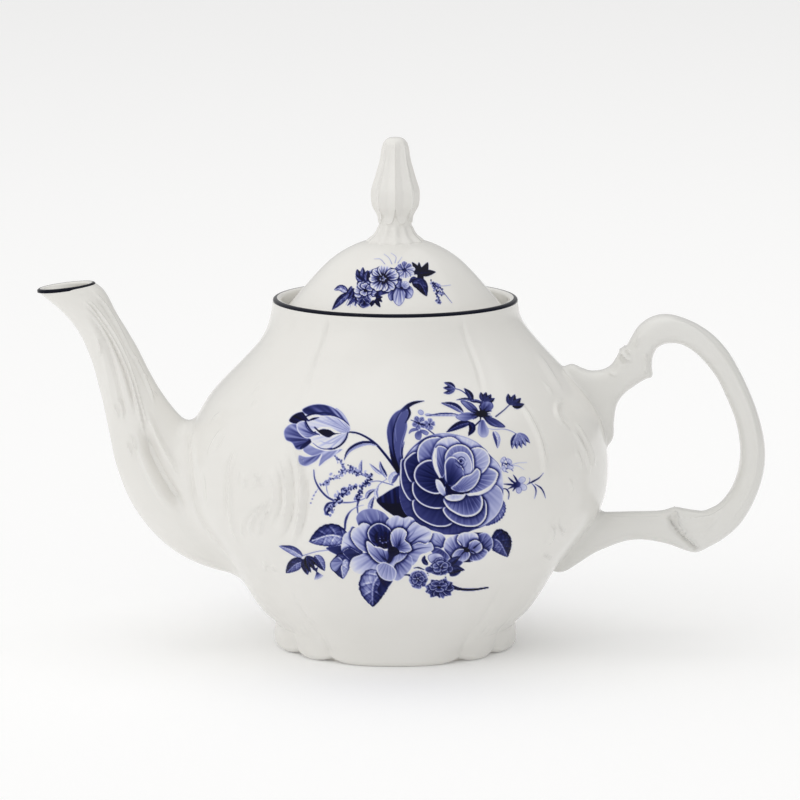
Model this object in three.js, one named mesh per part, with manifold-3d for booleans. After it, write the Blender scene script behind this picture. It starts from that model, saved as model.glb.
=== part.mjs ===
// Porcelain teapot with lift-off lid, millimetres, +Z up.
// +X points to the handle, -X to the spout. The body's axis of revolution
// stands at x = AXIS_X, so that the whole part is centred on the origin.
import * as THREE from 'three';
import { mergeVertices } from 'three/addons/utils/BufferGeometryUtils.js';
import Module from 'manifold-3d';

const wasm = await Module();
wasm.setup();

// ---------------------------------------------------------------- dimensions
const AXIS_X = -2.15;          // body axis, from the centre of the overall length
const SEGS = 48;               // segments round the body, the seat and the lid
const GAP = 0.3;               // left between luted neighbours
const FOOT_H = 8.0;            // height of the foot ring
const FOOT_R_IN = 34.6;        // inside radius of the foot ring
const FLOOR_T = 3.6;           // thickness of the pot's floor
const WALL = 3.4;              // thickness of the pot's wall
const RIM_Z = 117.45;          // top of the clay rim, under the painted line
const MOUTH_R = 38.1;          // inside radius of the rim
const MOUTH_DEPTH_Z = 107.6;   // where the straight mouth starts to open out
const SEAT_R_IN = 30.8;        // opening that the lid's collar drops into
const SEAT_Z = [108.4, 111.2]; // underside and top of the lid's seat
const COLLAR_R = [27.2, 29.8]; // inside and outside radius of the lid's collar
const COLLAR_Z = [103.6, 111.4];
const LID_EDGE_R = 36.9;       // widest radius of the lid
const LID_Z = 111.5;           // underside of the lid's edge
const LID_T = 3.0;             // thickness of the lid's dome
const VENT_R = 1.5;            // steam vent in the lid
const STRAINER_R = 1.8;        // strainer holes behind the spout
const SPOUT_WALL = 2.5;
const FILM = [0.6, 0.85];      // printed films: inner and outer face, off the glaze

// outer profile of the body: [z, radius]
const BODY = [
  [8.0, 40.4], [10.6, 43.1], [13.4, 45.5], [16.1, 47.5], [18.9, 49.3], [21.6, 50.9], [24.4, 52.5],
  [27.1, 54.2], [29.8, 56.1], [32.6, 58.2], [35.3, 60.4], [38.0, 62.6], [40.8, 64.8], [43.5, 66.8],
  [46.2, 68.4], [49.0, 69.6], [51.7, 70.4], [54.4, 70.9], [57.2, 71.2], [59.9, 71.3], [62.6, 71.3],
  [65.3, 71.1], [68.1, 70.7], [70.8, 70.15], [73.5, 69.35], [76.2, 68.3], [78.9, 66.95], [81.6, 65.4],
  [84.4, 63.6], [87.1, 61.4], [89.8, 58.95], [92.5, 56.3], [95.2, 53.65], [97.9, 51.05], [100.6, 48.55],
  [103.3, 46.3], [106.0, 44.4], [108.7, 42.9], [111.4, 41.85], [114.2, 41.25], [117.45, 40.9]];

// outer profile of the lid's dome: [z, radius]
const DOME = [
  [137.3, 7.6], [136.2, 11.6], [135.05, 14.4], [133.0, 18.1], [131.0, 20.95], [129.0, 23.2], [126.95, 25.25],
  [124.95, 27.1], [122.9, 28.9], [120.9, 30.65], [118.9, 32.4], [116.85, 34.15], [115.0, 35.7], [113.6, 36.6]];

// finial: [z, radius, depth of the flutes]
const KNOB = [
  [137.6, 9.2, 0.2], [138.4, 8.3, 0.2], [139.6, 7.0, 0.15], [141.2, 6.05, 0.1], [143.0, 5.9, 0.1],
  [145.0, 6.4, 0.3], [147.1, 6.75, 0.5], [149.1, 7.45, 0.7], [151.1, 7.85, 0.8], [153.1, 7.75, 0.8],
  [155.1, 7.5, 0.7], [157.2, 6.9, 0.6], [159.2, 6.35, 0.5], [161.2, 5.85, 0.4], [163.2, 5.2, 0.3],
  [165.3, 4.75, 0.25], [167.3, 4.9, 0.25], [169.3, 4.4, 0.2], [170.7, 3.3, 0.1], [171.3, 1.8, 0.0]];

// spout: lower/outer edge [x, z], upper/inner edge [x, z], half width across
const SPOUT = [
  [-119.6, 120.1, -100.2, 122.5, 8.1], [-117.4, 118.0, -98.3, 121.0, 8.1], [-114.3, 115.9, -96.7, 119.2, 8.0],
  [-111.4, 113.1, -95.2, 116.5, 7.9], [-108.4, 109.8, -93.4, 112.8, 7.8], [-105.6, 105.7, -91.2, 109.1, 7.8],
  [-103.2, 100.6, -88.7, 104.9, 8.0], [-101.2, 95.2, -86.1, 100.3, 8.3], [-99.6, 89.1, -83.5, 95.0, 8.7],
  [-98.1, 83.0, -80.6, 89.4, 9.3], [-96.8, 76.5, -77.5, 84.4, 10.1], [-95.5, 70.1, -74.5, 80.3, 11.0],
  [-94.2, 63.3, -71.7, 77.2, 12.0], [-92.4, 57.4, -68.8, 75.0, 13.0], [-90.1, 51.4, -65.8, 73.5, 14.0],
  [-86.5, 44.9, -62.8, 72.1, 15.0], [-81.1, 38.0, -59.8, 70.8, 16.0], [-74.1, 31.9, -56.8, 68.7, 16.8],
  [-64.7, 27.1, -53.5, 65.0, 17.4], [-55.0, 24.9, -50.1, 60.0, 17.6]];

// handle: outer edge [x, z], inner edge [x, z], half width across
const HANDLE = [
  [46.0, 87.0, 62.0, 61.5, 5.6], [53.8, 92.3, 70.6, 67.1, 5.8], [58.6, 94.9, 73.0, 70.6, 5.8], [62.5, 93.7, 73.3, 75.7, 5.7],
  [65.3, 92.9, 74.2, 81.2, 5.6], [68.9, 93.1, 76.3, 84.8, 5.6], [71.9, 94.5, 80.2, 88.0, 5.8], [73.7, 96.9, 84.0, 90.3, 6.0],
  [75.6, 100.3, 86.0, 91.4, 6.2], [77.5, 101.4, 85.9, 94.5, 6.2], [79.0, 104.2, 86.1, 97.5, 6.2], [81.4, 107.8, 87.3, 100.4, 6.3],
  [84.9, 110.5, 89.0, 101.7, 6.4], [88.5, 111.7, 90.8, 102.3, 6.4], [92.1, 111.7, 92.7, 102.5, 6.4], [95.7, 110.7, 94.6, 102.3, 6.4],
  [100.5, 108.4, 97.2, 101.4, 6.3], [105.9, 104.6, 100.6, 98.9, 6.2], [110.7, 99.3, 104.2, 95.1, 6.1], [114.9, 92.7, 107.7, 90.3, 6.0],
  [118.6, 85.2, 111.0, 83.5, 6.0], [121.6, 77.4, 113.7, 76.8, 5.9], [123.4, 70.0, 115.3, 70.2, 5.9], [123.9, 64.4, 115.7, 64.2, 5.9],
  [123.5, 59.0, 115.0, 58.9, 5.9], [121.9, 52.6, 113.4, 53.8, 5.9], [119.0, 46.0, 111.2, 50.0, 5.9], [115.4, 40.7, 108.8, 47.4, 6.0],
  [110.6, 36.4, 106.0, 45.9, 6.0], [105.9, 33.6, 103.3, 45.2, 6.1], [101.3, 31.6, 100.3, 45.4, 6.2], [97.3, 32.3, 97.2, 45.9, 6.1],
  [92.6, 34.0, 94.0, 46.3, 5.9], [87.8, 35.2, 90.0, 45.3, 5.7], [81.8, 35.8, 84.2, 45.0, 5.6], [77.0, 35.2, 79.6, 44.9, 5.6],
  [71.6, 32.9, 75.8, 44.8, 5.8], [66.8, 30.0, 72.6, 44.75, 6.0], [60.6, 26.0, 70.0, 44.7, 6.3], [53.4, 22.6, 67.4, 44.0, 6.5],
  [45.0, 18.5, 58.0, 41.0, 6.5]];

// ---------------------------------------------------------------- helpers
const V3 = (x, y, z) => new THREE.Vector3(x, y, z);

// A LatheGeometry whose rings are then placed one by one: rings[j](angle) is a point.
// A ring marked pole is a single point on the axis.
function loft(rings, segs, place = null) {
  const pts = rings.map((r, j) => new THREE.Vector2(r.pole ? 0 : 1, j));
  const g = new THREE.LatheGeometry(pts, segs);
  const p = g.attributes.position;
  const n = rings.length;
  for (let v = 0; v < p.count; v++) {
    const i = Math.floor(v / n) % segs, j = v % n;
    const r = rings[j];
    let q = r.pole ? r.pole : r.at((i / segs) * Math.PI * 2);
    if (place) q = place(q);
    p.setXYZ(v, q.x, q.y, q.z);
  }
  return clean(g);
}

// Merge shared vertices, drop empty triangles and turn the faces outward.
function clean(g) {
  g.deleteAttribute('normal');
  g.deleteAttribute('uv');
  if (!g.index) g.setIndex([...Array(g.attributes.position.count).keys()]);
  const m = mergeVertices(g, 1e-4);
  const p = m.attributes.position, idx = m.index.array, out = [];
  let vol = 0;
  const a = V3(), b = V3(), c = V3();
  for (let k = 0; k < idx.length; k += 3) {
    const [i, j, l] = [idx[k], idx[k + 1], idx[k + 2]];
    if (i === j || j === l || l === i) continue;
    out.push(i, j, l);
    a.fromBufferAttribute(p, i); b.fromBufferAttribute(p, j); c.fromBufferAttribute(p, l);
    vol += a.dot(b.clone().cross(c));
  }
  if (vol < 0) for (let k = 0; k < out.length; k += 3) [out[k + 1], out[k + 2]] = [out[k + 2], out[k + 1]];
  m.setIndex(out);
  return m;
}

const circle = (r, z) => ({ at: (t) => V3(r * Math.cos(t), r * Math.sin(t), z) });
const pole = (z) => ({ pole: V3(0, 0, z) });

function toManifold(g) {
  return new wasm.Manifold(new wasm.Mesh({
    numProp: 3,
    vertProperties: new Float32Array(g.attributes.position.array),
    triVerts: new Uint32Array(g.index.array),
  }));
}
function fromManifold(m) {
  const r = m.getMesh();
  const g = new THREE.BufferGeometry();
  g.setAttribute('position', new THREE.BufferAttribute(new Float32Array(r.vertProperties), 3));
  g.setIndex([...r.triVerts]);
  return g;
}
function cut(g, ...tools) {
  let m = toManifold(g);
  for (const t of tools) m = m.subtract(toManifold(t));
  return fromManifold(m);
}

function lerpProfile(prof, z) {
  if (z <= prof[0][0]) return prof[0][1];
  for (let i = 1; i < prof.length; i++) {
    if (z <= prof[i][0]) {
      const t = (z - prof[i - 1][0]) / (prof[i][0] - prof[i - 1][0]);
      return prof[i - 1][1] + t * (prof[i][1] - prof[i - 1][1]);
    }
  }
  return prof[prof.length - 1][1];
}

// offset a [z, r] profile along its own normals
function offset(prof, d) {
  return prof.map(([z, r], i) => {
    const a = prof[Math.max(i - 1, 0)], b = prof[Math.min(i + 1, prof.length - 1)];
    const tz = b[0] - a[0], tr = b[1] - a[1], l = Math.hypot(tz, tr);
    return [z - (tr / l) * d, r + (tz / l) * d];
  });
}

// superellipse section in the plane through the two edge points and across Y
function section(s, n, shrink = 0) {
  const o = V3(s[0], 0, s[1]), e = V3(s[2], 0, s[3]);
  const c = o.clone().add(e).multiplyScalar(0.5);
  const u = o.clone().sub(e).multiplyScalar(0.5);
  const len = u.length();
  u.multiplyScalar((len - shrink) / len);
  const w = s[4] - shrink;
  const f = (t) => Math.sign(t) * Math.pow(Math.abs(t), 2 / n);
  return { at: (t) => V3(c.x, 0, c.z).addScaledVector(u, f(Math.cos(t))).add(V3(0, w * f(Math.sin(t)), 0)) };
}

// ---------------------------------------------------------------- pot body
const bodyOuter = BODY.filter((_, i) => i % 2 === 0 || i === BODY.length - 1);
const inner = offset(BODY, -WALL).filter(([z]) => z > FOOT_H + FLOOR_T + 2.5 && z < MOUTH_DEPTH_Z - 2.5);
const innerThin = inner.filter((_, i) => i % 3 === 0);
const cavity = [[FOOT_H + FLOOR_T, 39.5], [FOOT_H + FLOOR_T + 1.0, 41.6], ...innerThin,
  [MOUTH_DEPTH_Z, MOUTH_R], [RIM_Z - 0.6, MOUTH_R]];
const bodyRings = [pole(FOOT_H), circle(BODY[0][1], FOOT_H),
  ...bodyOuter.slice(1).map(([z, r]) => circle(r, z)),
  circle(MOUTH_R + 0.6, RIM_Z),
  ...cavity.reverse().map(([z, r]) => circle(r, z)),
  pole(FOOT_H + FLOOR_T)];
let bodyGeo = loft(bodyRings, SEGS);

// strainer: a centre hole and a ring of six through the wall behind the spout
const STRAINER = [[0, 50]];
for (let k = 0; k < 6; k++) STRAINER.push([7 * Math.cos(k * Math.PI / 3), 50 + 7 * Math.sin(k * Math.PI / 3)]);
const holes = STRAINER.map(([y, z]) => {
  const g = new THREE.CylinderGeometry(STRAINER_R, STRAINER_R, 16, 10);
  g.rotateZ(Math.PI / 2);
  g.translate(-67, y, z);
  return clean(g);
});
bodyGeo = cut(bodyGeo, ...holes);

// the body's outside, grown by the gap: cuts the spout and the handle to fit
const grown = offset(bodyOuter, GAP);
const keepOut = loft([pole(2), circle(36, 2), circle(36.5, FOOT_H - GAP), ...grown.slice(0).map(([z, r]) => circle(r, z)), pole(grown[grown.length - 1][0])], SEGS);

// ---------------------------------------------------------------- foot ring
// eight lobes in plan: four wide ones on the axes and four small ones between
const LOBE_EDGE = 33.75;
function lobe(t) {
  const deg = THREE.MathUtils.radToDeg(t) % 90;
  const a = Math.min(deg, 90 - deg);
  if (a < LOBE_EDGE) {
    const k = Math.pow(a / LOBE_EDGE, 2.4);
    return { r: 37.6 + 3.1 * Math.cos((Math.PI / 2) * k), lift: 1.3 * Math.pow(Math.max(0, (a - 20) / (LOBE_EDGE - 20)), 2) };
  }
  const b = (45 - a) / (45 - LOBE_EDGE);
  return { r: 37.6 + 1.6 * Math.cos((Math.PI / 2) * b), lift: 1.3 * b * b };
}
const footRing = (dr, z, lifted) => ({
  at: (t) => { const l = lobe(t); return V3((l.r + dr) * Math.cos(t), (l.r + dr) * Math.sin(t), z + (lifted ? l.lift : 0)); },
});
const footRings = [circle(FOOT_R_IN, FOOT_H - 0.1), footRing(-0.5, FOOT_H - 0.1, false), footRing(0, 4.6, false),
  footRing(-0.1, 1.4, true), footRing(-1.1, 0, true), circle(36.0, 0), circle(FOOT_R_IN, 1.2), circle(FOOT_R_IN, FOOT_H - 0.1)];
const footGeo = loft(footRings, 96);

// ---------------------------------------------------------------- lid seat
const seatRings = [circle(SEAT_R_IN, SEAT_Z[1]), circle(MOUTH_R - 0.25, SEAT_Z[1]), circle(MOUTH_R - 0.25, SEAT_Z[0]),
  circle(SEAT_R_IN + 0.6, SEAT_Z[0]), circle(SEAT_R_IN, SEAT_Z[0] + 0.6), circle(SEAT_R_IN, SEAT_Z[1])];
const seatGeo = loft(seatRings, SEGS);

// ---------------------------------------------------------------- spout
const SPOUT_SEGS = 26, SPOUT_N = 2.15;
const spoutOut = SPOUT.map((s) => section(s, SPOUT_N));
const spoutIn = SPOUT.map((s) => section(s, 2, SPOUT_WALL)).reverse();
spoutOut[0] = section([...SPOUT[0].slice(0, 4).map((v, i) => v + [0.5, -0.1, -0.5, -0.35][i]), SPOUT[0][4] - 0.5], 2.1);
const spoutTube = loft([...spoutOut, ...spoutIn, spoutOut[0]], SPOUT_SEGS);
const spoutGeo = cut(spoutTube, keepOut);

// painted line round the lip
const lipUp = V3(SPOUT[0][2] - SPOUT[0][0], 0, SPOUT[0][3] - SPOUT[0][1]).normalize();
const lipN = V3(-lipUp.z, 0, lipUp.x);
const lipRing = (shrink, h) => {
  const s = section([SPOUT[0][0], SPOUT[0][1] + 0.0, SPOUT[0][2], SPOUT[0][3], SPOUT[0][4]], 2.1, shrink);
  return { at: (t) => s.at(t).addScaledVector(lipN, h) };
};
const lipGeo = loft([lipRing(1.9, 0.35), lipRing(0.35, 0.35), lipRing(0.35, 0.6), lipRing(1.9, 0.6), lipRing(1.9, 0.35)], SPOUT_SEGS);

// ---------------------------------------------------------------- handle
const midOf = (s) => V3((s[0] + s[2]) / 2, 0, (s[1] + s[3]) / 2);
const handleRings = [{ pole: midOf(HANDLE[0]) }, ...HANDLE.map((s) => section(s, 2.3)), { pole: midOf(HANDLE[HANDLE.length - 1]) }];
const handleGeo = cut(loft(handleRings, 14), keepOut);

// ---------------------------------------------------------------- rim line
const rimGeo = loft([circle(39.0, RIM_Z + 0.1), circle(40.7, RIM_Z + 0.1), circle(40.6, RIM_Z + 0.35), circle(39.1, RIM_Z + 0.35),
  circle(39.0, RIM_Z + 0.1)], SEGS);

// ---------------------------------------------------------------- lid
const domeIn = offset([...DOME].reverse(), -LID_T).reverse().filter(([z]) => z > LID_Z + 1.5 && z < 133.9);
const domeRings = [pole(137.3), ...DOME.filter((_, i) => i !== 4 && i !== 7 && i !== 10).map(([z, r]) => circle(r, z)),
  circle(LID_EDGE_R, 112.6), circle(LID_EDGE_R - 0.6, LID_Z), circle(31.2, LID_Z), circle(31.2, LID_Z + 1.0),
  ...domeIn.filter((_, i) => i % 2 === 0).reverse().map(([z, r]) => circle(Math.min(r, 31.0), z)), pole(134.2)];
let domeGeo = loft(domeRings, SEGS);
const vent = new THREE.CylinderGeometry(VENT_R, VENT_R, 14, 12);
vent.rotateX(Math.PI / 2 - 0.75);
vent.translate(0, 24.2, 126.0);
domeGeo = cut(domeGeo, clean(vent));

const collarTop = 113.4;
const collarGeo = loft([circle(COLLAR_R[0], collarTop), circle(COLLAR_R[1], collarTop), circle(COLLAR_R[1], COLLAR_Z[0] + 0.7),
  circle(COLLAR_R[1] - 0.7, COLLAR_Z[0]), circle(COLLAR_R[0], COLLAR_Z[0]), circle(COLLAR_R[0], collarTop)], SEGS);

// finial: an eight-petalled bud
const knobRings = [pole(KNOB[0][0]), ...KNOB.map(([z, r, f]) => ({
  at: (t) => { const k = r - f * (1 - Math.abs(Math.cos(4 * t))) ; return V3(k * Math.cos(t), k * Math.sin(t), z); },
})), pole(171.65)];
const knobGeo = loft(knobRings, 32);

// ---------------------------------------------------------------- printed films
// A box is bent onto the surface: u runs round the axis, v up it, w outward.
function film(width, height, z0, arcR, prof, facing, nx, ny) {
  const g = new THREE.BoxGeometry(2, 2, 1, nx, ny, 1);
  const p = g.attributes.position;
  for (let k = 0; k < p.count; k++) {
    const x = p.getX(k), y = p.getY(k), w = p.getZ(k) > 0 ? FILM[1] : FILM[0];
    const u = x * Math.sqrt(1 - 0.42 * y * y) * width / 2;      // square to rounded outline
    const v = y * Math.sqrt(1 - 0.42 * x * x) * height / 2;
    const z = z0 + v;
    const r0 = lerpProfile(prof, z), dz = 0.5;
    const slope = (lerpProfile(prof, z + dz) - lerpProfile(prof, z - dz)) / (2 * dz);
    const l = Math.hypot(1, slope);
    const a = (u / arcR) + facing;
    const r = r0 + w / l;
    p.setXYZ(k, r * Math.sin(a), -r * Math.cos(a), z - (slope * w) / l);
  }
  return clean(g);
}
const DOME_UP = [...DOME].reverse();
const bodyFilm = (facing) => film(94, 75, 52.5, 70, BODY, facing, 12, 10);
const lidFilm = (facing) => film(41, 18.5, 124.0, 29, DOME_UP, facing, 8, 5);

// ---------------------------------------------------------------- assembly
const material = (color, roughness) => new THREE.MeshStandardMaterial({ color, roughness, metalness: 0 });
const part = new THREE.Group();
part.position.set(AXIS_X, 0, 0);
function add(name, geometry, mat) {
  geometry.computeVertexNormals();
  const m = new THREE.Mesh(geometry, mat);
  m.name = name;
  part.add(m);
  return m;
}
add('pot_body', bodyGeo, material(0xf1efec, 0.15));
add('foot_ring', footGeo, material(0xefedea, 0.2));
add('lid_seat', seatGeo, material(0xf0eeeb, 0.2));
add('spout', spoutGeo, material(0xf1efec, 0.15));
add('handle', handleGeo, material(0xf1efec, 0.15));
add('rim_band', rimGeo, material(0x1a1e38, 0.2));
add('spout_lip_band', lipGeo, material(0x1a1e38, 0.2));
add('print_body_front', bodyFilm(0), material(0x5560ae, 0.2));
add('print_body_back', bodyFilm(Math.PI), material(0x5560ae, 0.2));
add('lid_dome', domeGeo, material(0xf2f0ed, 0.15));
add('lid_flange', collarGeo, material(0xf0eeeb, 0.2));
add('lid_knob', knobGeo, material(0xf2f0ed, 0.15));
add('print_lid_front', lidFilm(0), material(0x5560ae, 0.2));
add('print_lid_back', lidFilm(Math.PI), material(0x5560ae, 0.2));

export default part;
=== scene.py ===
import math
import bpy
import numpy as np
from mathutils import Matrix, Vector
from mathutils.bvhtree import BVHTree


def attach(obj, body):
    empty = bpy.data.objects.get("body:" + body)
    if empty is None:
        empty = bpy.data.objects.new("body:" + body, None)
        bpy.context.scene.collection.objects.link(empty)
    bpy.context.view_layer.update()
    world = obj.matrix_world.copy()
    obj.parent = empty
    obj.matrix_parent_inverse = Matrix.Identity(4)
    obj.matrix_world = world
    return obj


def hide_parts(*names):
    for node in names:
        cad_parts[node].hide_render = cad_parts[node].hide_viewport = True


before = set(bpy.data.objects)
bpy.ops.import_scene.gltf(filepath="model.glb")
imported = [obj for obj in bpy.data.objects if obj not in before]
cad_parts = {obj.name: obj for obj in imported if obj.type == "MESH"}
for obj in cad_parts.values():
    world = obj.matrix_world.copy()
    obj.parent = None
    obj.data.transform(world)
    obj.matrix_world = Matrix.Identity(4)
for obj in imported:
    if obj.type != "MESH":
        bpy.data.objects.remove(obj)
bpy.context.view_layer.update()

# ------------------------------------------------------------------ constants
# All shapes are worked out in millimetres round the body's axis, then moved by
# AX along X and scaled to metres, which is the frame of the CAD model.
MM = 0.001
AX = -2.15

# elevation map: the front view, as a drawing 800 units square. Relief and prints
# are laid out on it; it matches the camera made at the end of the script.
EL_C = np.array([0.0, -1970.0, 400.0])
EL_T = np.array([0.0, 0.0, 83.0])
EL_F = (EL_T - EL_C) / np.linalg.norm(EL_T - EL_C)
EL_R = np.array([1.0, 0.0, 0.0])
EL_U = np.cross(EL_R, EL_F)
EL_K, EL_X0, EL_Y0 = 5955.0, 395.3, 400.0
PX = 0.335               # millimetres for one unit of the drawing, near the axis


def elev(p):
    """Front-elevation coordinates of points; the far half is mirrored to the near one."""
    d = np.array(p, float).reshape(-1, 3).copy()
    d[:, 1] = -np.abs(d[:, 1])
    d = d - EL_C
    w = d @ EL_F
    return np.stack([EL_X0 + EL_K * (d @ EL_R) / w, EL_Y0 - EL_K * (d @ EL_U) / w], -1)


def ray(px, py):
    """Unit rays from the elevation's eye through drawing points."""
    r = EL_F + ((px - EL_X0) / EL_K)[..., None] * EL_R + ((EL_Y0 - py) / EL_K)[..., None] * EL_U
    return r / np.linalg.norm(r, axis=-1, keepdims=True)


# ------------------------------------------------------------------ curves
def spline(xk, yk, x):
    """Natural cubic spline through (xk, yk); yk may hold several columns."""
    xk = np.asarray(xk, float)
    yk = np.asarray(yk, float)
    x = np.asarray(x, float)
    n = len(xk)
    h = np.diff(xk)
    a = np.zeros((n, n))
    b = np.zeros((n,) + yk.shape[1:])
    a[0, 0] = a[-1, -1] = 1.0
    for i in range(1, n - 1):
        a[i, i - 1], a[i, i], a[i, i + 1] = h[i - 1], 2 * (h[i - 1] + h[i]), h[i]
        b[i] = 6 * ((yk[i + 1] - yk[i]) / h[i] - (yk[i] - yk[i - 1]) / h[i - 1])
    m = np.linalg.solve(a, b)
    i = np.clip(np.searchsorted(xk, x) - 1, 0, n - 2)
    hh, t0, t1 = h[i], xk[i + 1] - x, x - xk[i]
    if yk.ndim > 1:
        hh, t0, t1 = hh[:, None], t0[:, None], t1[:, None]
    return (m[i] * t0 ** 3 + m[i + 1] * t1 ** 3) / (6 * hh) + (yk[i] / hh - m[i] * hh / 6) * t0 \
        + (yk[i + 1] / hh - m[i + 1] * hh / 6) * t1


def catmull(pts, per=8, closed=False):
    """Centripetal Catmull-Rom through 2-D or 3-D points."""
    p = np.asarray(pts, float)
    if closed:
        p = np.concatenate([p[-1:], p, p[:2]])
    else:
        p = np.concatenate([2 * p[:1] - p[1:2], p, 2 * p[-1:] - p[-2:-1]])
    out = []
    for i in range(1, len(p) - 2):
        p0, p1, p2, p3 = p[i - 1], p[i], p[i + 1], p[i + 2]
        t0 = 0.0
        t1 = t0 + max(np.linalg.norm(p1 - p0) ** 0.5, 1e-6)
        t2 = t1 + max(np.linalg.norm(p2 - p1) ** 0.5, 1e-6)
        t3 = t2 + max(np.linalg.norm(p3 - p2) ** 0.5, 1e-6)
        t = np.linspace(t1, t2, per, endpoint=False)[:, None]
        a1 = (t1 - t) / (t1 - t0) * p0 + (t - t0) / (t1 - t0) * p1
        a2 = (t2 - t) / (t2 - t1) * p1 + (t - t1) / (t2 - t1) * p2
        a3 = (t3 - t) / (t3 - t2) * p2 + (t - t2) / (t3 - t2) * p3
        b1 = (t2 - t) / (t2 - t0) * a1 + (t - t0) / (t2 - t0) * a2
        b2 = (t3 - t) / (t3 - t1) * a2 + (t - t1) / (t3 - t1) * a3
        out.append((t2 - t) / (t2 - t1) * b1 + (t - t1) / (t2 - t1) * b2)
    if not closed:
        out.append(p[-2:-1])
    return np.concatenate(out)


def smooth01(x):
    x = np.clip(x, 0.0, 1.0)
    return x * x * (3 - 2 * x)


# ------------------------------------------------------------------ meshes
def ring_faces(rows, cols, base=0, wrap=True):
    i = np.arange(rows - 1)[:, None]
    j = np.arange(cols if wrap else cols - 1)[None, :]
    a = i * cols + j
    b = i * cols + (j + 1) % cols
    f = np.stack([a, b, b + cols, a + cols], -1).reshape(-1, 4) + base
    return f


def volume(v, faces):
    s = 0.0
    for f in faces:
        f = np.asarray(f)
        if f.ndim == 1:
            f = f[None, :]
        for k in range(1, f.shape[1] - 1):
            s += np.einsum('ij,ij->', v[f[:, 0]], np.cross(v[f[:, k]], v[f[:, k + 1]]))
    return s / 6.0


def make(name, verts, groups, material, body, replaces=(), closed=True, flip=False, attrs=None):
    """A smooth mesh from millimetre points and a list of index arrays."""
    v = np.asarray(verts, float)
    if closed and volume(v - v.mean(0), groups) < 0:
        flip = not flip
    if flip:
        groups = [g[:, ::-1] for g in groups]
    w = (v + [AX, 0, 0]) * MM
    me = bpy.data.meshes.new(name)
    corners = np.concatenate([g.reshape(-1) for g in groups]).astype(np.int32)
    sizes = np.concatenate([np.full(len(g), g.shape[1]) for g in groups]).astype(np.int32)
    starts = np.concatenate([[0], np.cumsum(sizes)[:-1]]).astype(np.int32)
    me.vertices.add(len(w))
    me.vertices.foreach_set('co', w.astype(np.float32).reshape(-1))
    me.loops.add(len(corners))
    me.loops.foreach_set('vertex_index', corners)
    me.polygons.add(len(sizes))
    me.polygons.foreach_set('loop_start', starts)
    me.polygons.foreach_set('loop_total', sizes)
    me.polygons.foreach_set('use_smooth', np.ones(len(sizes), dtype=bool))
    me.update(calc_edges=True)
    me.validate()
    me.set_sharp_from_angle(angle=math.radians(52))
    for key, val in (attrs or {}).items():
        val = np.asarray(val, np.float32)
        if val.ndim == 2:
            at = me.color_attributes.new(name=key, type='FLOAT_COLOR', domain='POINT')
            rgba = np.ones((len(val), 4), np.float32)
            rgba[:, :val.shape[1]] = val
            at.data.foreach_set('color', rgba.reshape(-1))
        else:
            at = me.attributes.new(name=key, type='FLOAT', domain='POINT')
            at.data.foreach_set('value', val)
    ob = bpy.data.objects.new(name, me)
    bpy.context.scene.collection.objects.link(ob)
    me.materials.append(material)
    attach(ob, body)
    if replaces:
        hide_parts(*replaces)
    return ob


def drill(ob, holes, bore_slot=None):
    """Round holes through a piece: (centre mm, axis, diameter, length) each."""
    bm_v, bm_f = [], []
    n = 28
    for c, axis, dia, length in holes:
        a = np.asarray(axis, float)
        a /= np.linalg.norm(a)
        u = np.cross(a, [0, 1, 0] if abs(a[1]) < 0.8 else [1, 0, 0])
        u /= np.linalg.norm(u)
        w = np.cross(a, u)
        k = (np.arange(n) + 0.37) / n * 2 * np.pi      # keeps the cutter's corners off the wall's own columns
        base = len(bm_v)
        for s in (-0.5, 0.5):
            for q in k:
                bm_v.append((np.asarray(c, float) + [AX, 0, 0] + a * s * length + (u * math.cos(q) + w * math.sin(q)) * dia / 2) * MM)
        bm_f.append([base + j for j in range(n)][::-1])
        bm_f.append([base + n + j for j in range(n)])
        for j in range(n):
            bm_f.append([base + j, base + (j + 1) % n, base + n + (j + 1) % n, base + n + j])
    me = bpy.data.meshes.new(ob.name + '_drill')
    me.from_pydata([tuple(v) for v in bm_v], [], bm_f)
    me.update()
    cut = bpy.data.objects.new(ob.name + '_drill', me)
    bpy.context.scene.collection.objects.link(cut)
    mod = ob.modifiers.new('drill', 'BOOLEAN')
    mod.operation = 'DIFFERENCE'
    mod.solver = 'EXACT'
    mod.object = cut
    dep = bpy.context.evaluated_depsgraph_get()
    new = bpy.data.meshes.new_from_object(ob.evaluated_get(dep), preserve_all_data_layers=True, depsgraph=dep)
    ob.modifiers.remove(mod)
    old = ob.data
    mats = list(old.materials)
    new.materials.clear()
    for m in mats:
        new.materials.append(m)
    ob.data = new
    new.name = old.name
    bpy.data.objects.remove(cut)
    bpy.data.meshes.remove(me)
    bpy.data.meshes.remove(old)
    new.polygons.foreach_set('use_smooth', np.ones(len(new.polygons), dtype=bool))
    new.set_sharp_from_angle(angle=math.radians(52))
    return ob


def grid_normals(p, wrap=True):
    """Normals of a (rows, cols, 3) grid, columns wrapping round."""
    du = np.gradient(p, axis=0)
    if wrap:
        dv = (np.roll(p, -1, 1) - np.roll(p, 1, 1)) / 2
    else:
        dv = np.gradient(p, axis=1)
    n = np.cross(du, dv)
    l = np.linalg.norm(n, axis=-1, keepdims=True)
    return n / np.maximum(l, 1e-9)


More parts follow.
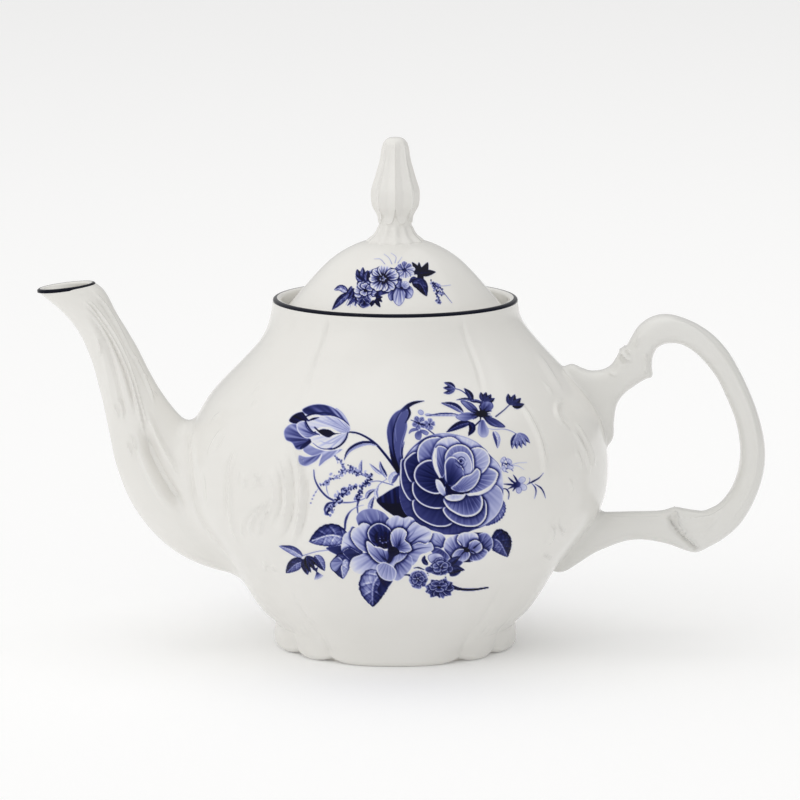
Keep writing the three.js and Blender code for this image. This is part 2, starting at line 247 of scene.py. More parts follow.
# ------------------------------------------------------------------ relief
def strokes_height(xy, strokes):
    """Sum of relief strokes at drawing points xy. A stroke is (points, height in mm,
    half width left, half width right, start taper, end taper); left is the side to the
    left of travel on the drawing."""
    h = np.zeros(len(xy))
    for pts, amp, wl, wr, ta, tb in strokes:
        c = catmull(pts, 5)
        m = max(wl, wr) + 1
        box = (xy[:, 0] > c[:, 0].min() - m) & (xy[:, 0] < c[:, 0].max() + m) \
            & (xy[:, 1] > c[:, 1].min() - m) & (xy[:, 1] < c[:, 1].max() + m)
        idx = np.nonzero(box)[0]
        if not len(idx):
            continue
        q = xy[idx]
        best = np.full(len(idx), 1e9)
        side = np.zeros(len(idx))
        par = np.zeros(len(idx))
        seg = np.diff(c, axis=0)
        ln = np.linalg.norm(seg, axis=1)
        cum = np.concatenate([[0], np.cumsum(ln)])
        total = cum[-1]
        for k in range(len(seg)):
            if ln[k] < 1e-6:
                continue
            d = q - c[k]
            t = np.clip((d @ seg[k]) / ln[k] ** 2, 0, 1)
            e = d - t[:, None] * seg[k]
            dist = np.hypot(e[:, 0], e[:, 1])
            s = seg[k, 0] * d[:, 1] - seg[k, 1] * d[:, 0]
            up = dist < best
            best[up] = dist[up]
            side[up] = s[up]
            par[up] = ((cum[k] + t * ln[k]) / total)[up]
        w = np.where(side > 0, wr, wl)
        u = np.clip(best / w, 0, 1)
        prof = 0.72 * (1 - u * u) ** 2 + 0.28 * np.exp(-(u / 0.30) ** 2) * (1 - u)   # a soft bank with a crisp crest
        tap = np.ones(len(idx))
        if ta > 0:
            tap *= smooth01(par / ta)
        if tb > 0:
            tap *= smooth01((1 - par) / tb)
        # a stroke that overlaps itself or another adds up
        h[idx] += amp * prof * tap
    return h


# ------------------------------------------------------------------ pot body
BODY = np.array([
    [8.0, 40.4], [10.6, 43.1], [13.4, 45.5], [16.1, 47.5], [18.9, 49.3], [21.6, 50.9], [24.4, 52.5],
    [27.1, 54.2], [29.8, 56.1], [32.6, 58.2], [35.3, 60.4], [38.0, 62.6], [40.8, 64.8], [43.5, 66.8],
    [46.2, 68.4], [49.0, 69.6], [51.7, 70.4], [54.4, 70.9], [57.2, 71.2], [59.9, 71.3], [62.6, 71.3],
    [65.3, 71.1], [68.1, 70.7], [70.8, 70.15], [73.5, 69.35], [76.2, 68.3], [78.9, 66.95], [81.6, 65.4],
    [84.4, 63.6], [87.1, 61.4], [89.8, 58.95], [92.5, 56.3], [95.2, 53.65], [97.9, 51.05], [100.6, 48.55],
    [103.3, 46.3], [106.0, 44.4], [108.7, 42.9], [111.4, 41.85], [114.2, 41.25], [117.45, 40.9]])
RIM_Z = 117.45
MOUTH_R = 38.1
_zt = np.arange(7.0, 118.01, 0.1)
_rt = spline(BODY[:, 0], BODY[:, 1], np.clip(_zt, 8.0, 117.45))
for _ in range(60):      # irons out the last ripples of the measured profile
    _rt[1:-1] = 0.5 * _rt[1:-1] + 0.25 * (_rt[2:] + _rt[:-2])
_rt[_zt <= 8.0] = 40.4
_w = smooth01((_zt - 8.0) / 6.0)       # the waist over the foot is a soft hollow
_d8 = np.maximum(_zt - 8.0, 0.0)
_soft = 40.4 + 1.15 * _d8 ** 2 / (_d8 + 1.0)
_rt = np.where(_zt > 8.0, _soft * (1 - _w) + _rt * _w, _rt)

# the foot's plan: four wide lobes on the axes, four small ones between
LOBE_EDGE = 33.0


def lobe(t):
    deg = np.degrees(t) % 90.0
    a = np.minimum(deg, 90.0 - deg)
    wide = a < LOBE_EDGE
    k = np.clip(a / LOBE_EDGE, 0, 1) ** 2.4
    b = np.clip((45.0 - a) / (45.0 - LOBE_EDGE), 0, 1)
    b = np.where(wide, 0, 1 - b)
    r = np.where(wide, 39.2 + 1.5 * np.cos(np.pi / 2 * k), 39.2 + 1.0 * np.cos(np.pi / 2 * (1 - b)))
    lift = np.where(wide, 1.35 * np.clip((a - 19) / (LOBE_EDGE - 19), 0, 1) ** 2.2, 1.35 * (1 - b) ** 2)
    return r, lift


def front_weight(t):
    """1 on the front and back panels, 0 on the sides."""
    a = np.abs((np.degrees(t) + 90.0 + 180.0) % 360.0 - 180.0)
    a = np.minimum(a, 180.0 - a)
    return smooth01((74.0 - a) / 44.0)


def front_sweep(z):
    """The front and back panels run down to the foot in one sweep, with no waist."""
    z = np.clip(np.asarray(z, float), 0.0, 16.0)
    return 40.9 + 0.1 * z + 0.62 / 32.0 * z * z


def body_base(t, z):
    """Radius and sideways shift of the body before its relief."""
    r = np.interp(z, _zt, _rt)
    w = front_weight(t) * smooth01((18.0 - np.asarray(z, float)) / 5.0)
    r = r * (1 - w) + np.maximum(front_sweep(z), r - 0.4) * w
    # the foot's lobes die out just above it
    fade = smooth01((19.0 - z) / 11.0) * 0.45
    lr, _ = lobe(t)
    r = r + fade * (lr - 40.7)
    # faint flats: the front and back panels and the sides are a touch fuller than the joins
    a = np.abs((np.degrees(t) + 90.0 + 180.0) % 360.0 - 180.0)      # from the front
    a = np.minimum(a, 180.0 - a)
    band = smooth01((z - 70.0) / 30.0) * smooth01((117.0 - z) / 10.0)
    r = r - 0.35 * band * np.exp(-((a - 31.0) / 7.0) ** 2)
    shift = 1.3 * smooth01((z - 66.0) / 14.0) * smooth01((113.0 - z) / 12.0)
    return r, shift


# relief on the drawing, left to right: points, height, left and right half widths, tapers
def _sym(pts):
    return [(2 * EL_X0 - x, y) for x, y in pts]


CREASE_TOP = [(329, 312), (326, 330), (320, 348), (313, 366), (308, 385), (305, 405)]
CREASE_LOW = [(288, 580), (296, 600), (306, 618), (320, 636), (331, 656)]
RELIEF_BODY = [
    # panel creases
    (CREASE_TOP, -0.34, 5.5, 3.5, 0.12, 0.3),
    (CREASE_TOP, 0.22, 0.6, 11.0, 0.15, 0.3),
    (_sym(CREASE_TOP), -0.30, 3.5, 5.5, 0.12, 0.3),
    (_sym(CREASE_TOP), 0.18, 11.0, 0.6, 0.15, 0.3),
    (CREASE_LOW, -0.20, 5.0, 3.5, 0.4, 0.0),
    (CREASE_LOW, 0.15, 0.6, 12.0, 0.4, 0.1),
    (_sym(CREASE_LOW), -0.20, 3.5, 5.0, 0.4, 0.0),
    (_sym(CREASE_LOW), 0.15, 12.0, 0.6, 0.4, 0.1),
    # cartouche on the spout side: nested C scrolls
    ([(287, 438), (296, 452), (301, 472), (302, 494), (300, 515), (295, 535), (289, 552)], 0.95, 4.6, 4.4, 0.25, 0.3),
    ([(281, 446), (288, 458), (292, 478), (293, 498), (291, 516), (285, 533), (275, 545)], -0.62, 3.2, 3.2, 0.25, 0.25),
    ([(276, 455), (283, 468), (286.5, 485), (287, 502), (284, 518), (278, 531)], 0.62, 3.2, 3.0, 0.25, 0.25),
    ([(272, 464), (278, 475), (280.5, 489), (280, 504), (276, 519), (270, 530)], -0.55, 2.8, 2.8, 0.25, 0.25),
    ([(266, 470), (272, 480), (274, 492), (272, 505), (267, 517)], 0.42, 2.8, 2.6, 0.25, 0.25),
    ([(305, 470), (307, 490), (306, 510), (301, 531), (296, 546)], -0.42, 3.2, 3.2, 0.25, 0.3),
    # leaf and shell inside the scrolls
    ([(271, 494), (266, 503), (259, 511), (253, 520), (251, 531), (255, 538)], 0.55, 3.0, 2.6, 0.25, 0.3),
    ([(272, 506), (267, 515), (262, 523), (260, 532), (257, 540)], 0.5, 2.6, 2.6, 0.25, 0.3),
    ([(268, 500), (260, 507), (252, 513), (246, 522), (244, 533)], -0.3, 2.2, 2.2, 0.25, 0.3),
    ([(250, 470), (256, 476), (262, 484), (266, 490)], 0.5, 2.8, 2.6, 0.35, 0.35),
    ([(262, 470), (259, 478), (254, 487), (249, 493)], 0.42, 2.4, 2.4, 0.35, 0.35),
    ([(245, 474), (245.5, 482), (243, 490)], 0.4, 2.4, 2.4, 0.4, 0.4),
    ([(240, 470), (239, 480), (240, 490)], -0.3, 2.4, 2.4, 0.4, 0.4),
    ([(243, 520), (242, 530), (246, 538)], 0.4, 2.2, 2.2, 0.4, 0.4),
    # long C on the spout side of the cartouche
    ([(240, 442), (234, 456), (231, 474), (230, 494), (231, 514), (234, 532), (241, 548)], 0.5, 3.2, 2.6, 0.25, 0.25),
    ([(235, 448), (228, 462), (226, 480), (225.5, 500), (227, 522)], -0.34, 2.6, 2.6, 0.25, 0.25),
    # small sprig above it, by the spout
    ([(223, 428), (217, 437), (211, 448), (208, 458)], 0.42, 2.4, 2.6, 0.3, 0.3),
    ([(225, 433), (219, 442), (214, 452)], -0.3, 2.4, 2.4, 0.3, 0.3),
    ([(222, 413), (216, 417), (212, 422)], 0.4, 2.2, 2.2, 0.35, 0.35),
    ([(258, 384), (256.5, 389), (258, 394)], 0.34, 2.2, 2.2, 0.4, 0.4),
    ([(256, 400), (252, 406)], 0.26, 2.0, 2.0, 0.4, 0.4),
    # shoulder edge beside the spout
    ([(191, 426), (193, 445), (196, 470), (198, 500)], 0.5, 3.0, 5.0, 0.2, 0.35),
    ([(203, 470), (204, 490), (206, 508)], -0.26, 2.6, 2.6, 0.35, 0.35),
    # below the cartouche
    ([(262, 560), (266, 566), (264, 572)], 0.36, 2.4, 2.4, 0.4, 0.4),
    ([(272, 566), (275, 571)], 0.34, 2.4, 2.4, 0.4, 0.4),
    ([(295, 628), (301, 631), (307, 629), (311, 624)], 0.24, 2.4, 2.4, 0.3, 0.3),
    (_sym([(295, 628), (301, 631), (307, 629), (311, 624)]), 0.24, 2.4, 2.4, 0.3, 0.3),
    # cartouche on the handle side
    ([(512, 396), (524, 410), (534, 428), (541, 448), (544, 468), (542, 488)], 0.62, 4.8, 4.0, 0.3, 0.3),
    ([(520, 398), (532, 414), (542, 434), (548, 456), (549, 476)], -0.3, 3.2, 3.2, 0.3, 0.3),
    ([(537, 352), (546, 366), (556, 382), (563, 392)], 0.42, 3.4, 6.0, 0.3, 0.3),
    ([(544, 384), (549, 389), (551, 395)], 0.4, 2.4, 2.2, 0.35, 0.35),
    ([(566, 400), (559, 402), (556, 410), (559, 420), (566, 427), (572, 432)], 0.6, 3.0, 3.0, 0.2, 0.25),
    ([(566, 404), (562, 409), (564, 417), (571, 424)], -0.32, 2.6, 2.6, 0.3, 0.3),
    ([(575, 422), (581, 432), (587, 443), (592, 456), (595, 470)], 0.62, 2.6, 2.4, 0.2, 0.3),
    ([(572, 430), (578, 439), (584, 450), (588, 463), (590, 476)], 0.58, 2.6, 2.4, 0.2, 0.3),
    ([(576, 428), (582, 438), (588, 452), (591, 468)], -0.3, 1.8, 1.8, 0.2, 0.3),
    ([(575, 448), (579, 458), (582, 470)], 0.46, 2.2, 2.2, 0.3, 0.3),
    ([(568, 478), (572, 486), (570, 494)], 0.34, 2.4, 2.4, 0.4, 0.4),
    ([(548, 522), (553, 530), (551, 540), (545, 546)], 0.5, 2.8, 2.8, 0.3, 0.3),
    ([(557, 515), (558, 524), (562, 531), (569, 534)], 0.42, 2.4, 2.4, 0.3, 0.3),
    ([(541, 552), (547, 557), (555, 558)], 0.34, 2.4, 2.4, 0.35, 0.35),
]

RELIEF_SPOUT = [
    # deep flute that opens towards the body, with a ridge on each side
    ([(140, 418), (147, 440), (156, 463), (167, 484), (178, 502), (188, 516)], -2.3, 9.5, 8.5, 0.35, 0.28),
    ([(143, 402), (150, 422), (160, 444), (172, 464), (184, 482), (194, 496)], 1.15, 5.5, 6.5, 0.3, 0.35),
    ([(131, 428), (139, 450), (149, 474), (161, 496), (174, 514)], 0.75, 8.0, 5.0, 0.3, 0.3),
    # pair of long ridges from the lip
    ([(80, 298), (90, 307), (101, 321), (112, 338), (121, 356), (129, 376), (136, 400), (141, 420), (146, 440)], 0.62, 2.1, 2.1, 0.1, 0.12),
    ([(84, 297), (94, 306), (105, 320), (116, 337), (125, 355), (133, 376), (140, 400), (145, 418), (151, 436)], 0.5, 2.0, 2.0, 0.1, 0.12),
    ([(86, 304), (98, 318), (109, 336), (118, 355), (126, 376), (132, 398), (137, 420)], -0.7, 4.2, 3.0, 0.15, 0.2),
    ([(92, 290), (105, 305), (117, 325), (129, 348), (139, 366), (148, 386), (156, 408)], 0.58, 2.3, 2.3, 0.1, 0.15),
    ([(97, 296), (110, 315), (122, 336), (133, 356), (142, 374), (151, 394)], -0.42, 2.4, 3.6, 0.1, 0.2),
    # shoulder of the lower, outer half
    ([(88, 312), (99, 328), (108, 346), (114, 366), (119, 388), (124, 410), (129, 432)], -0.55, 3.6, 4.4, 0.2, 0.25),
    ([(80, 312), (91, 326), (99, 342), (105, 362), (109, 384), (113, 406), (117, 430)], 0.35, 5.0, 5.0, 0.2, 0.3),
    # little leaves
    ([(96, 336), (100, 343), (101, 352), (98, 357)], 0.5, 2.2, 2.2, 0.3, 0.3),
    ([(116, 397), (120, 402), (123, 411), (122, 419)], 0.55, 2.4, 2.2, 0.3, 0.3),
    ([(114, 404), (117, 410), (119, 418)], 0.4, 2.0, 2.0, 0.3, 0.3),
    ([(128, 434), (133, 439), (136, 448), (135, 455)], 0.55, 2.4, 2.2, 0.3, 0.3),
    ([(126, 442), (130, 448), (132, 456)], 0.4, 2.0, 2.0, 0.3, 0.3),
    ([(133, 356), (138, 361)], 0.3, 1.8, 1.8, 0.3, 0.3),
    ([(143, 374), (148, 378)], 0.3, 1.8, 1.8, 0.3, 0.3),
    ([(152, 391), (157, 396)], 0.3, 1.8, 1.8, 0.3, 0.3),
]

RELIEF_HANDLE = [
    # leaf knuckle on the upper bracket
    ([(619, 349), (623, 355), (629, 360), (634, 359)], 0.7, 2.6, 2.4, 0.2, 0.3),
    ([(624, 346), (628, 352), (633, 355)], 0.55, 2.0, 2.2, 0.2, 0.3),
    ([(617, 356), (621, 362), (625, 364)], -0.4, 2.4, 2.4, 0.3, 0.3),
    ([(645, 352), (645.5, 362), (646, 374)], 0.5, 3.6, 2.2, 0.2, 0.1),
    ([(608, 372), (614, 375), (618, 373)], 0.4, 2.4, 2.4, 0.4, 0.4),
    ([(641, 334), (638, 342), (637, 349)], 0.45, 2.6, 2.6, 0.3, 0.3),
    # long ridge inside the outer edge
    ([(655, 322), (675, 321), (694, 329), (711, 343), (727, 363), (741, 389), (751, 414), (757, 440), (757, 462),
      (751, 486), (741, 506), (727, 522), (711, 534)], 0.4, 3.4, 5.0, 0.12, 0.15),
    # leaf wrapped round the lower bar
    ([(668, 514), (672, 523), (678, 532), (686, 541), (696, 550)], -1.15, 3.2, 4.6, 0.06, 0.04),
    ([(675, 510), (678, 522), (684, 532), (692, 541), (699, 549)], 0.85, 3.0, 3.4, 0.1, 0.04),
    ([(672, 517), (684, 519), (697, 518.5), (712, 516), (724, 508), (732, 498)], 0.55, 2.2, 5.0, 0.1, 0.3),
    ([(690, 538), (702, 532), (714, 522), (723, 512)], 0.3, 2.8, 2.8, 0.3, 0.3),
    # top edge of the lower bar
    ([(603, 517), (625, 518), (648, 518), (667, 516.5)], 0.3, 2.2, 4.0, 0.15, 0.15),
]


def body_relief(p):
    xy = elev(p)
    return 1.6 * strokes_height(xy, RELIEF_BODY)


def body_point(t, z):
    r, s = body_base(t, z)
    return np.stack([r * np.cos(t) + s, r * np.sin(t), z], -1)


def body_surface(t, z):
    """Body points with relief, for arrays of angle and height."""
    t = np.asarray(t, float)
    z = np.asarray(z, float)
    e = 0.05
    p = body_point(t, z)
    n = np.cross(body_point(t + 1e-3, z) - body_point(t - 1e-3, z), body_point(t, z + e) - body_point(t, z - e))
    n /= np.maximum(np.linalg.norm(n, axis=-1, keepdims=True), 1e-9)
    h = body_relief(p.reshape(-1, 3)).reshape(t.shape)
    fade = smooth01((116.0 - z) / 3.0)
    return p + n * (h * fade)[..., None], n


def body_distance(p):
    """Signed distance from the smooth body, near enough beside it."""
    p = np.asarray(p, float)
    z = np.clip(p[..., 2], 8.0, 117.4)
    t = np.arctan2(p[..., 1], p[..., 0])
    r, s = body_base(t, z)
    x = p[..., 0] - s
    rho = np.hypot(x, p[..., 1])
    t = np.arctan2(p[..., 1], x)
    r, _ = body_base(t, z)
    e = 0.4
    slope = (np.interp(z + e, _zt, _rt) - np.interp(z - e, _zt, _rt)) / (2 * e)
    return (rho - r) / np.sqrt(1 + slope ** 2)


def onto_body(p, lift):
    """Moves points to the body's surface with relief, plus lift along the normal."""
    p = np.array(p, float)
    for _ in range(5):
        z = np.clip(p[..., 2], 8.0, 117.4)
        t = np.arctan2(p[..., 1], p[..., 0] - body_base(np.arctan2(p[..., 1], p[..., 0]), z)[1])
        n = np.cross(body_point(t + 1e-3, z) - body_point(t - 1e-3, z), body_point(t, z + .05) - body_point(t, z - .05))
        n /= np.maximum(np.linalg.norm(n, axis=-1, keepdims=True), 1e-9)
        p = p - n * body_distance(p)[..., None]
    h = body_relief(p.reshape(-1, 3)).reshape(p.shape[:-1])
    return p + n * (h + lift)[..., None], n


# ------------------------------------------------------------------ materials
def node(nt, kind, loc=(0, 0), **kw):
    n = nt.nodes.new(kind)
    n.location = loc
    for k, v in kw.items():
        setattr(n, k, v)
    return n


PAPER = (0.800, 0.788, 0.757)        # fired glaze over white clay, linear


def glaze(name, tint=PAPER, rough=0.17, coat=0.0, mottle=0.018, ripple=0.05, ink=False, pit=0.0, spec=0.42):
    """Clear feldspar glaze over porcelain: soft body scatter, a glassy coat, a slow
    ripple in the coat and faint cloudiness in the clay. With ink, the colour of a
    printed transfer sits under the same coat."""
    m = bpy.data.materials.new(name)
    m.use_nodes = True
    nt = m.node_tree
    nt.nodes.clear()
    out = node(nt, 'ShaderNodeOutputMaterial', (900, 0))
    bs = node(nt, 'ShaderNodeBsdfPrincipled', (600, 0))
    nt.links.new(bs.outputs[0], out.inputs[0])
    co = node(nt, 'ShaderNodeTexCoord', (-1200, 0))
    cloud = node(nt, 'ShaderNodeTexNoise', (-900, 200))
    cloud.inputs['Scale'].default_value = 22.0
    cloud.inputs['Detail'].default_value = 3.0
    cloud.inputs['Roughness'].default_value = 0.55
    nt.links.new(co.outputs['Object'], cloud.inputs['Vector'])
    fine = node(nt, 'ShaderNodeTexNoise', (-900, -50))
    fine.inputs['Scale'].default_value = 900.0
    fine.inputs['Detail'].default_value = 2.0
    nt.links.new(co.outputs['Object'], fine.inputs['Vector'])
    ramp = node(nt, 'ShaderNodeValToRGB', (-600, 200))
    c = np.array(tint)
    lo, hi = c * (1 - mottle * 1.6) * np.array([1.0, 0.998, 0.99]), c * (1 + mottle)
    ramp.color_ramp.elements[0].position = 0.3
    ramp.color_ramp.elements[0].color = (*np.clip(lo, 0, 1), 1)
    ramp.color_ramp.elements[1].position = 0.7
    ramp.color_ramp.elements[1].color = (*np.clip(hi, 0, 1), 1)
    nt.links.new(cloud.outputs['Fac'], ramp.inputs['Fac'])
    base = ramp.outputs['Color']
    if ink:
        at = node(nt, 'ShaderNodeAttribute', (-600, -50), attribute_name='ink')
        cov = node(nt, 'ShaderNodeAttribute', (-600, -250), attribute_name='cover')
        mix = node(nt, 'ShaderNodeMix', (-250, 100), data_type='RGBA', blend_type='MIX')
        nt.links.new(cov.outputs['Fac'], mix.inputs['Factor'])
        nt.links.new(base, mix.inputs['A'])
        nt.links.new(at.outputs['Color'], mix.inputs['B'])
        base = mix.outputs['Result']
    nt.links.new(base, bs.inputs['Base Color'])
    # roughness: glassy, a little duller where the cloud is dense
    mr = node(nt, 'ShaderNodeMapRange', (-250, -250))
    mr.inputs['From Min'].default_value = 0.3
    mr.inputs['From Max'].default_value = 0.7
    mr.inputs['To Min'].default_value = rough * 0.85
    mr.inputs['To Max'].default_value = rough * 1.2
    nt.links.new(cloud.outputs['Fac'], mr.inputs['Value'])
    nt.links.new(mr.outputs['Result'], bs.inputs['Roughness'])
    # ripple of the melted glaze, plus the finest orange peel
    slow = node(nt, 'ShaderNodeTexNoise', (-900, -350))
    slow.inputs['Scale'].default_value = 75.0
    slow.inputs['Detail'].default_value = 1.5
    nt.links.new(co.outputs['Object'], slow.inputs['Vector'])
    b1 = node(nt, 'ShaderNodeBump', (0, -350))
    b1.inputs['Strength'].default_value = ripple
    b1.inputs['Distance'].default_value = 0.0012
    nt.links.new(slow.outputs['Fac'], b1.inputs['Height'])
    b2 = node(nt, 'ShaderNodeBump', (250, -350))
    b2.inputs['Strength'].default_value = 0.02 + pit
    b2.inputs['Distance'].default_value = 0.00012
    nt.links.new(fine.outputs['Fac'], b2.inputs['Height'])
    nt.links.new(b1.outputs['Normal'], b2.inputs['Normal'])
    nt.links.new(b2.outputs['Normal'], bs.inputs['Normal'])
    bs.inputs['IOR'].default_value = 1.52
    bs.inputs['Specular IOR Level'].default_value = spec
    bs.inputs['Coat Weight'].default_value = coat
    bs.inputs['Coat Roughness'].default_value = 0.06
    bs.inputs['Coat IOR'].default_value = 1.5
    m.diffuse_color = (*tint, 1)
    return m


M_BODY = glaze('glaze_body')
M_FOOT = glaze('glaze_foot')
M_SPOUT = glaze('glaze_spout')
# painted shade: the handle has the body's glaze, tinted darker for the shade that its side stands in
M_HANDLE_PAINTED_SHADE = glaze('glaze_handle_painted_shade', tint=(0.755, 0.748, 0.722))
M_LID = glaze('glaze_lid')
M_KNOB = glaze('glaze_knob')
M_SEAT = glaze('glaze_seat', tint=(0.76, 0.75, 0.725), rough=0.2)
M_LINE = glaze('cobalt_line', tint=(0.006, 0.007, 0.016), rough=0.16, mottle=0.25, spec=0.07)
M_PRINT = glaze('cobalt_print', ink=True, spec=0.10)
M_BISQUE = glaze('foot_bisque', tint=(0.74, 0.72, 0.68), rough=0.62, coat=0.0, pit=0.35)


# ------------------------------------------------------------------ pot body mesh
def stitch(fine0, nf, coarse0, nc):
    """Triangles between a ring of nf points and a ring of nc, nf = 4 nc."""
    k = nf // nc
    tri = []
    for j in range(nc):
        a, b = coarse0 + j, coarse0 + (j + 1) % nc
        o = [fine0 + (j * k + i) % nf for i in range(k + 1)]
        h = k // 2
        for i in range(h):
            tri.append((a, o[i], o[i + 1]))
        tri.append((a, o[h], b))
        for i in range(h, k):
            tri.append((b, o[i], o[i + 1]))
    return np.array(tri)


def ring_fan(ring0, n, centre):
    j = np.arange(n)
    return np.stack([ring0 + j, ring0 + (j + 1) % n, np.full(n, centre)], -1)


def build_body():
    nt_, ni = 640, 160
    # columns and rows lie closer together where there is relief
    ta = np.linspace(0, 2 * np.pi, 7201)
    fa = np.abs((np.degrees(ta) + 90.0 + 180.0) % 360.0 - 180.0)
    fa = np.minimum(fa, 180.0 - fa)
    ca = np.cumsum(1.0 + 1.1 * smooth01((fa - 16.0) / 8.0) * smooth01((80.0 - fa) / 8.0))
    t = np.interp(np.arange(nt_) / nt_ * (ca[-1] - ca[0]) + ca[0], ca, ta)
    zz = np.arange(8.0, 116.61, 0.05)
    rr = np.interp(zz, _zt, _rt)
    step = np.hypot(np.gradient(zz), np.gradient(rr))
    dens = np.where((zz > 22) & (zz < 90), 1 / 0.84, 1 / 1.7)
    cum = np.cumsum(step * dens)
    rows = int(cum[-1]) + 1
    z = np.interp(np.linspace(cum[0], cum[-1], rows), cum, zz)
    T, Z = np.meshgrid(t, z)
    outer, _ = body_surface(T, Z)
    prof = [(40.90, 117.0), (40.80, 117.35), (40.52, 117.63), (40.1, 117.79), (39.5, 117.84), (38.95, 117.77),
            (38.5, 117.55), (38.2, 117.15), (38.1, 116.6)]
    rim = np.array([[(r * math.cos(a), r * math.sin(a), h) for a in t] for r, h in prof])
    P = np.concatenate([outer, rim])
    faces = [ring_faces(len(P), nt_)]
    verts = [P.reshape(-1, 3)]
    base = len(P) * nt_
    # inside: mouth, chamber and floor, in fewer segments
    zi = [115.0, 113.0, 111.3, 110.0, 108.6, 107.9]
    ins = [(MOUTH_R, a) for a in zi]
    e = 0.4
    zc = np.concatenate([np.arange(106.8, 20.0, -2.4), np.arange(19.5, 13.2, -1.2)])
    for a in zc:
        s = (np.interp(a + e, _zt, _rt) - np.interp(a - e, _zt, _rt)) / (2 * e)
        r = np.interp(a, _zt, _rt) - 3.4 * math.sqrt(1 + s * s)
        w = smooth01((a - 103.0) / 5.0)
        ins.append((r * (1 - w) + MOUTH_R * w, a))
    ins += [(41.3, 12.5), (39.8, 11.9), (37.5, 11.6), (28, 11.6), (16, 11.6), (6, 11.6)]
    ti = t[::nt_ // ni]
    I = np.array([[(r * math.cos(a), r * math.sin(a), h) for a in ti] for r, h in ins])
    verts.append(I.reshape(-1, 3))
    faces.append(stitch(base - nt_, nt_, base, ni))
    faces.append(ring_faces(len(I), ni, base))
    end = base + len(I) * ni
    verts.append(np.array([[0, 0, 11.6]]))
    faces.append(ring_fan(end - ni, ni, end))
    # underside, inside the foot
    und = [(38.0, 8.0), (34.0, 8.0), (33.0, 8.15), (20, 8.3), (8, 8.35)]
    U = np.array([[(r * math.cos(a), r * math.sin(a), h) for a in ti] for r, h in und])
    ub = end + 1
    verts.append(U.reshape(-1, 3))
    s = stitch(0, nt_, ub, ni)
    faces.append(s[:, ::-1])
    faces.append(ring_faces(len(U), ni, ub)[:, ::-1])
    ue = ub + len(U) * ni
    verts.append(np.array([[0, 0, 8.35]]))
    faces.append(ring_fan(ue - ni, ni, ue)[:, ::-1])
    return make('pot_shell', np.concatenate(verts), consistent(faces), M_BODY, 'pot', replaces=['pot_body'])


def consistent(faces):
    """Each block of faces is already wound alike; blocks are turned so that shared
    edges run opposite ways."""
    # edges of the first block, directed
    def edges(f):
        return np.concatenate([np.stack([f[:, i], f[:, (i + 1) % f.shape[1]]], -1) for i in range(f.shape[1])])
    done = [faces[0]]
    have = set(map(tuple, edges(faces[0])))
    todo = list(faces[1:])
    while todo:
        for k, f in enumerate(todo):
            e = edges(f)
            same = sum((a, b) in have for a, b in e[:4000])
            opp = sum((b, a) in have for a, b in e[:4000])
            if same or opp:
                if same > opp:
                    f = f[:, ::-1]
                done.append(f)
                have |= set(map(tuple, edges(f)))
                todo.pop(k)
                break
        else:
            done += todo
            break
    return done


def build_foot():
    n = 720
    t = np.arange(n) / n * 2 * np.pi
    lr, lift = lobe(t)
    rows = []
    for z in [7.995, 7.5, 6.9, 6.2, 5.4, 4.6, 3.8, 3.0, 2.3]:
        a = 0.45 + 0.55 * smooth01((8.0 - z) / 5.0)
        bulge = 0.42 * math.sin(math.pi * min(1, (8.0 - z) / 8.0)) ** 2
        w = front_weight(t)
        rows.append(((40.4 + bulge * 0.8) * (1 - w) + front_sweep(z) * w + a * (lr - 40.7), z))
    rb, zb = rows[-1]
    for a in np.linspace(0.15, 1.0, 9):      # rounded lower edge
        ang = a * math.pi / 2
        rows.append((rb - 2.2 * (1 - math.cos(ang)), 2.3 * (1 - math.sin(ang))))
    rows.append((rows[-1][0] - 0.6, 0.0))
    rows.append((np.full(n, 35.9), 0.0))
    for r, z in [(35.2, 0.18), (34.8, 0.6), (34.6, 1.4), (34.6, 4.0), (34.6, 7.0), (34.6, 7.97)]:
        rows.append((np.full(n, r), z))
    P = []
    for r, z in rows:
        r = np.asarray(r)
        outer = (r > 36.2)
        zz = z + np.where(outer, lift * (1 - smooth01(z / 6.5)), 0)
        P.append(np.stack([r * np.cos(t), r * np.sin(t), zz], -1))
    P = np.array(P)
    # relief of the body's lower creases runs on down the skirt
    nrm = grid_normals(P)
    h = 1.6 * strokes_height(elev(P.reshape(-1, 3)), RELIEF_BODY).reshape(P.shape[:2])
    fade = np.array([smooth01((z - 1.0) / 3.0) if k < 9 else 0.0 for k, (r, z) in enumerate(rows)])
    rad = np.sign((nrm[4] * np.stack([np.cos(t), np.sin(t), 0 * t], -1)).sum(-1).mean())
    P = P + nrm * rad * (h * fade[:, None])[..., None]
    P = np.concatenate([P, P[:1]])
    f = ring_faces(len(rows), n)
    last = (len(rows) - 1) * n
    j = np.arange(n)
    close = np.stack([last + j, last + (j + 1) % n, (j + 1) % n, j], -1)
    ob = make('foot_ring_shell', P[:-1].reshape(-1, 3), [f, close], M_FOOT, 'pot', replaces=['foot_ring'])
    ob.data.materials.append(M_BISQUE)
    idx = np.zeros(len(ob.data.polygons), dtype=np.int32)
    lo = (n * 16)
    hi = (n * 20)
    idx[lo:hi] = 1          # the bare clay edge that the pot stood on in the kiln
    ob.data.polygons.foreach_set('material_index', idx)
    return ob


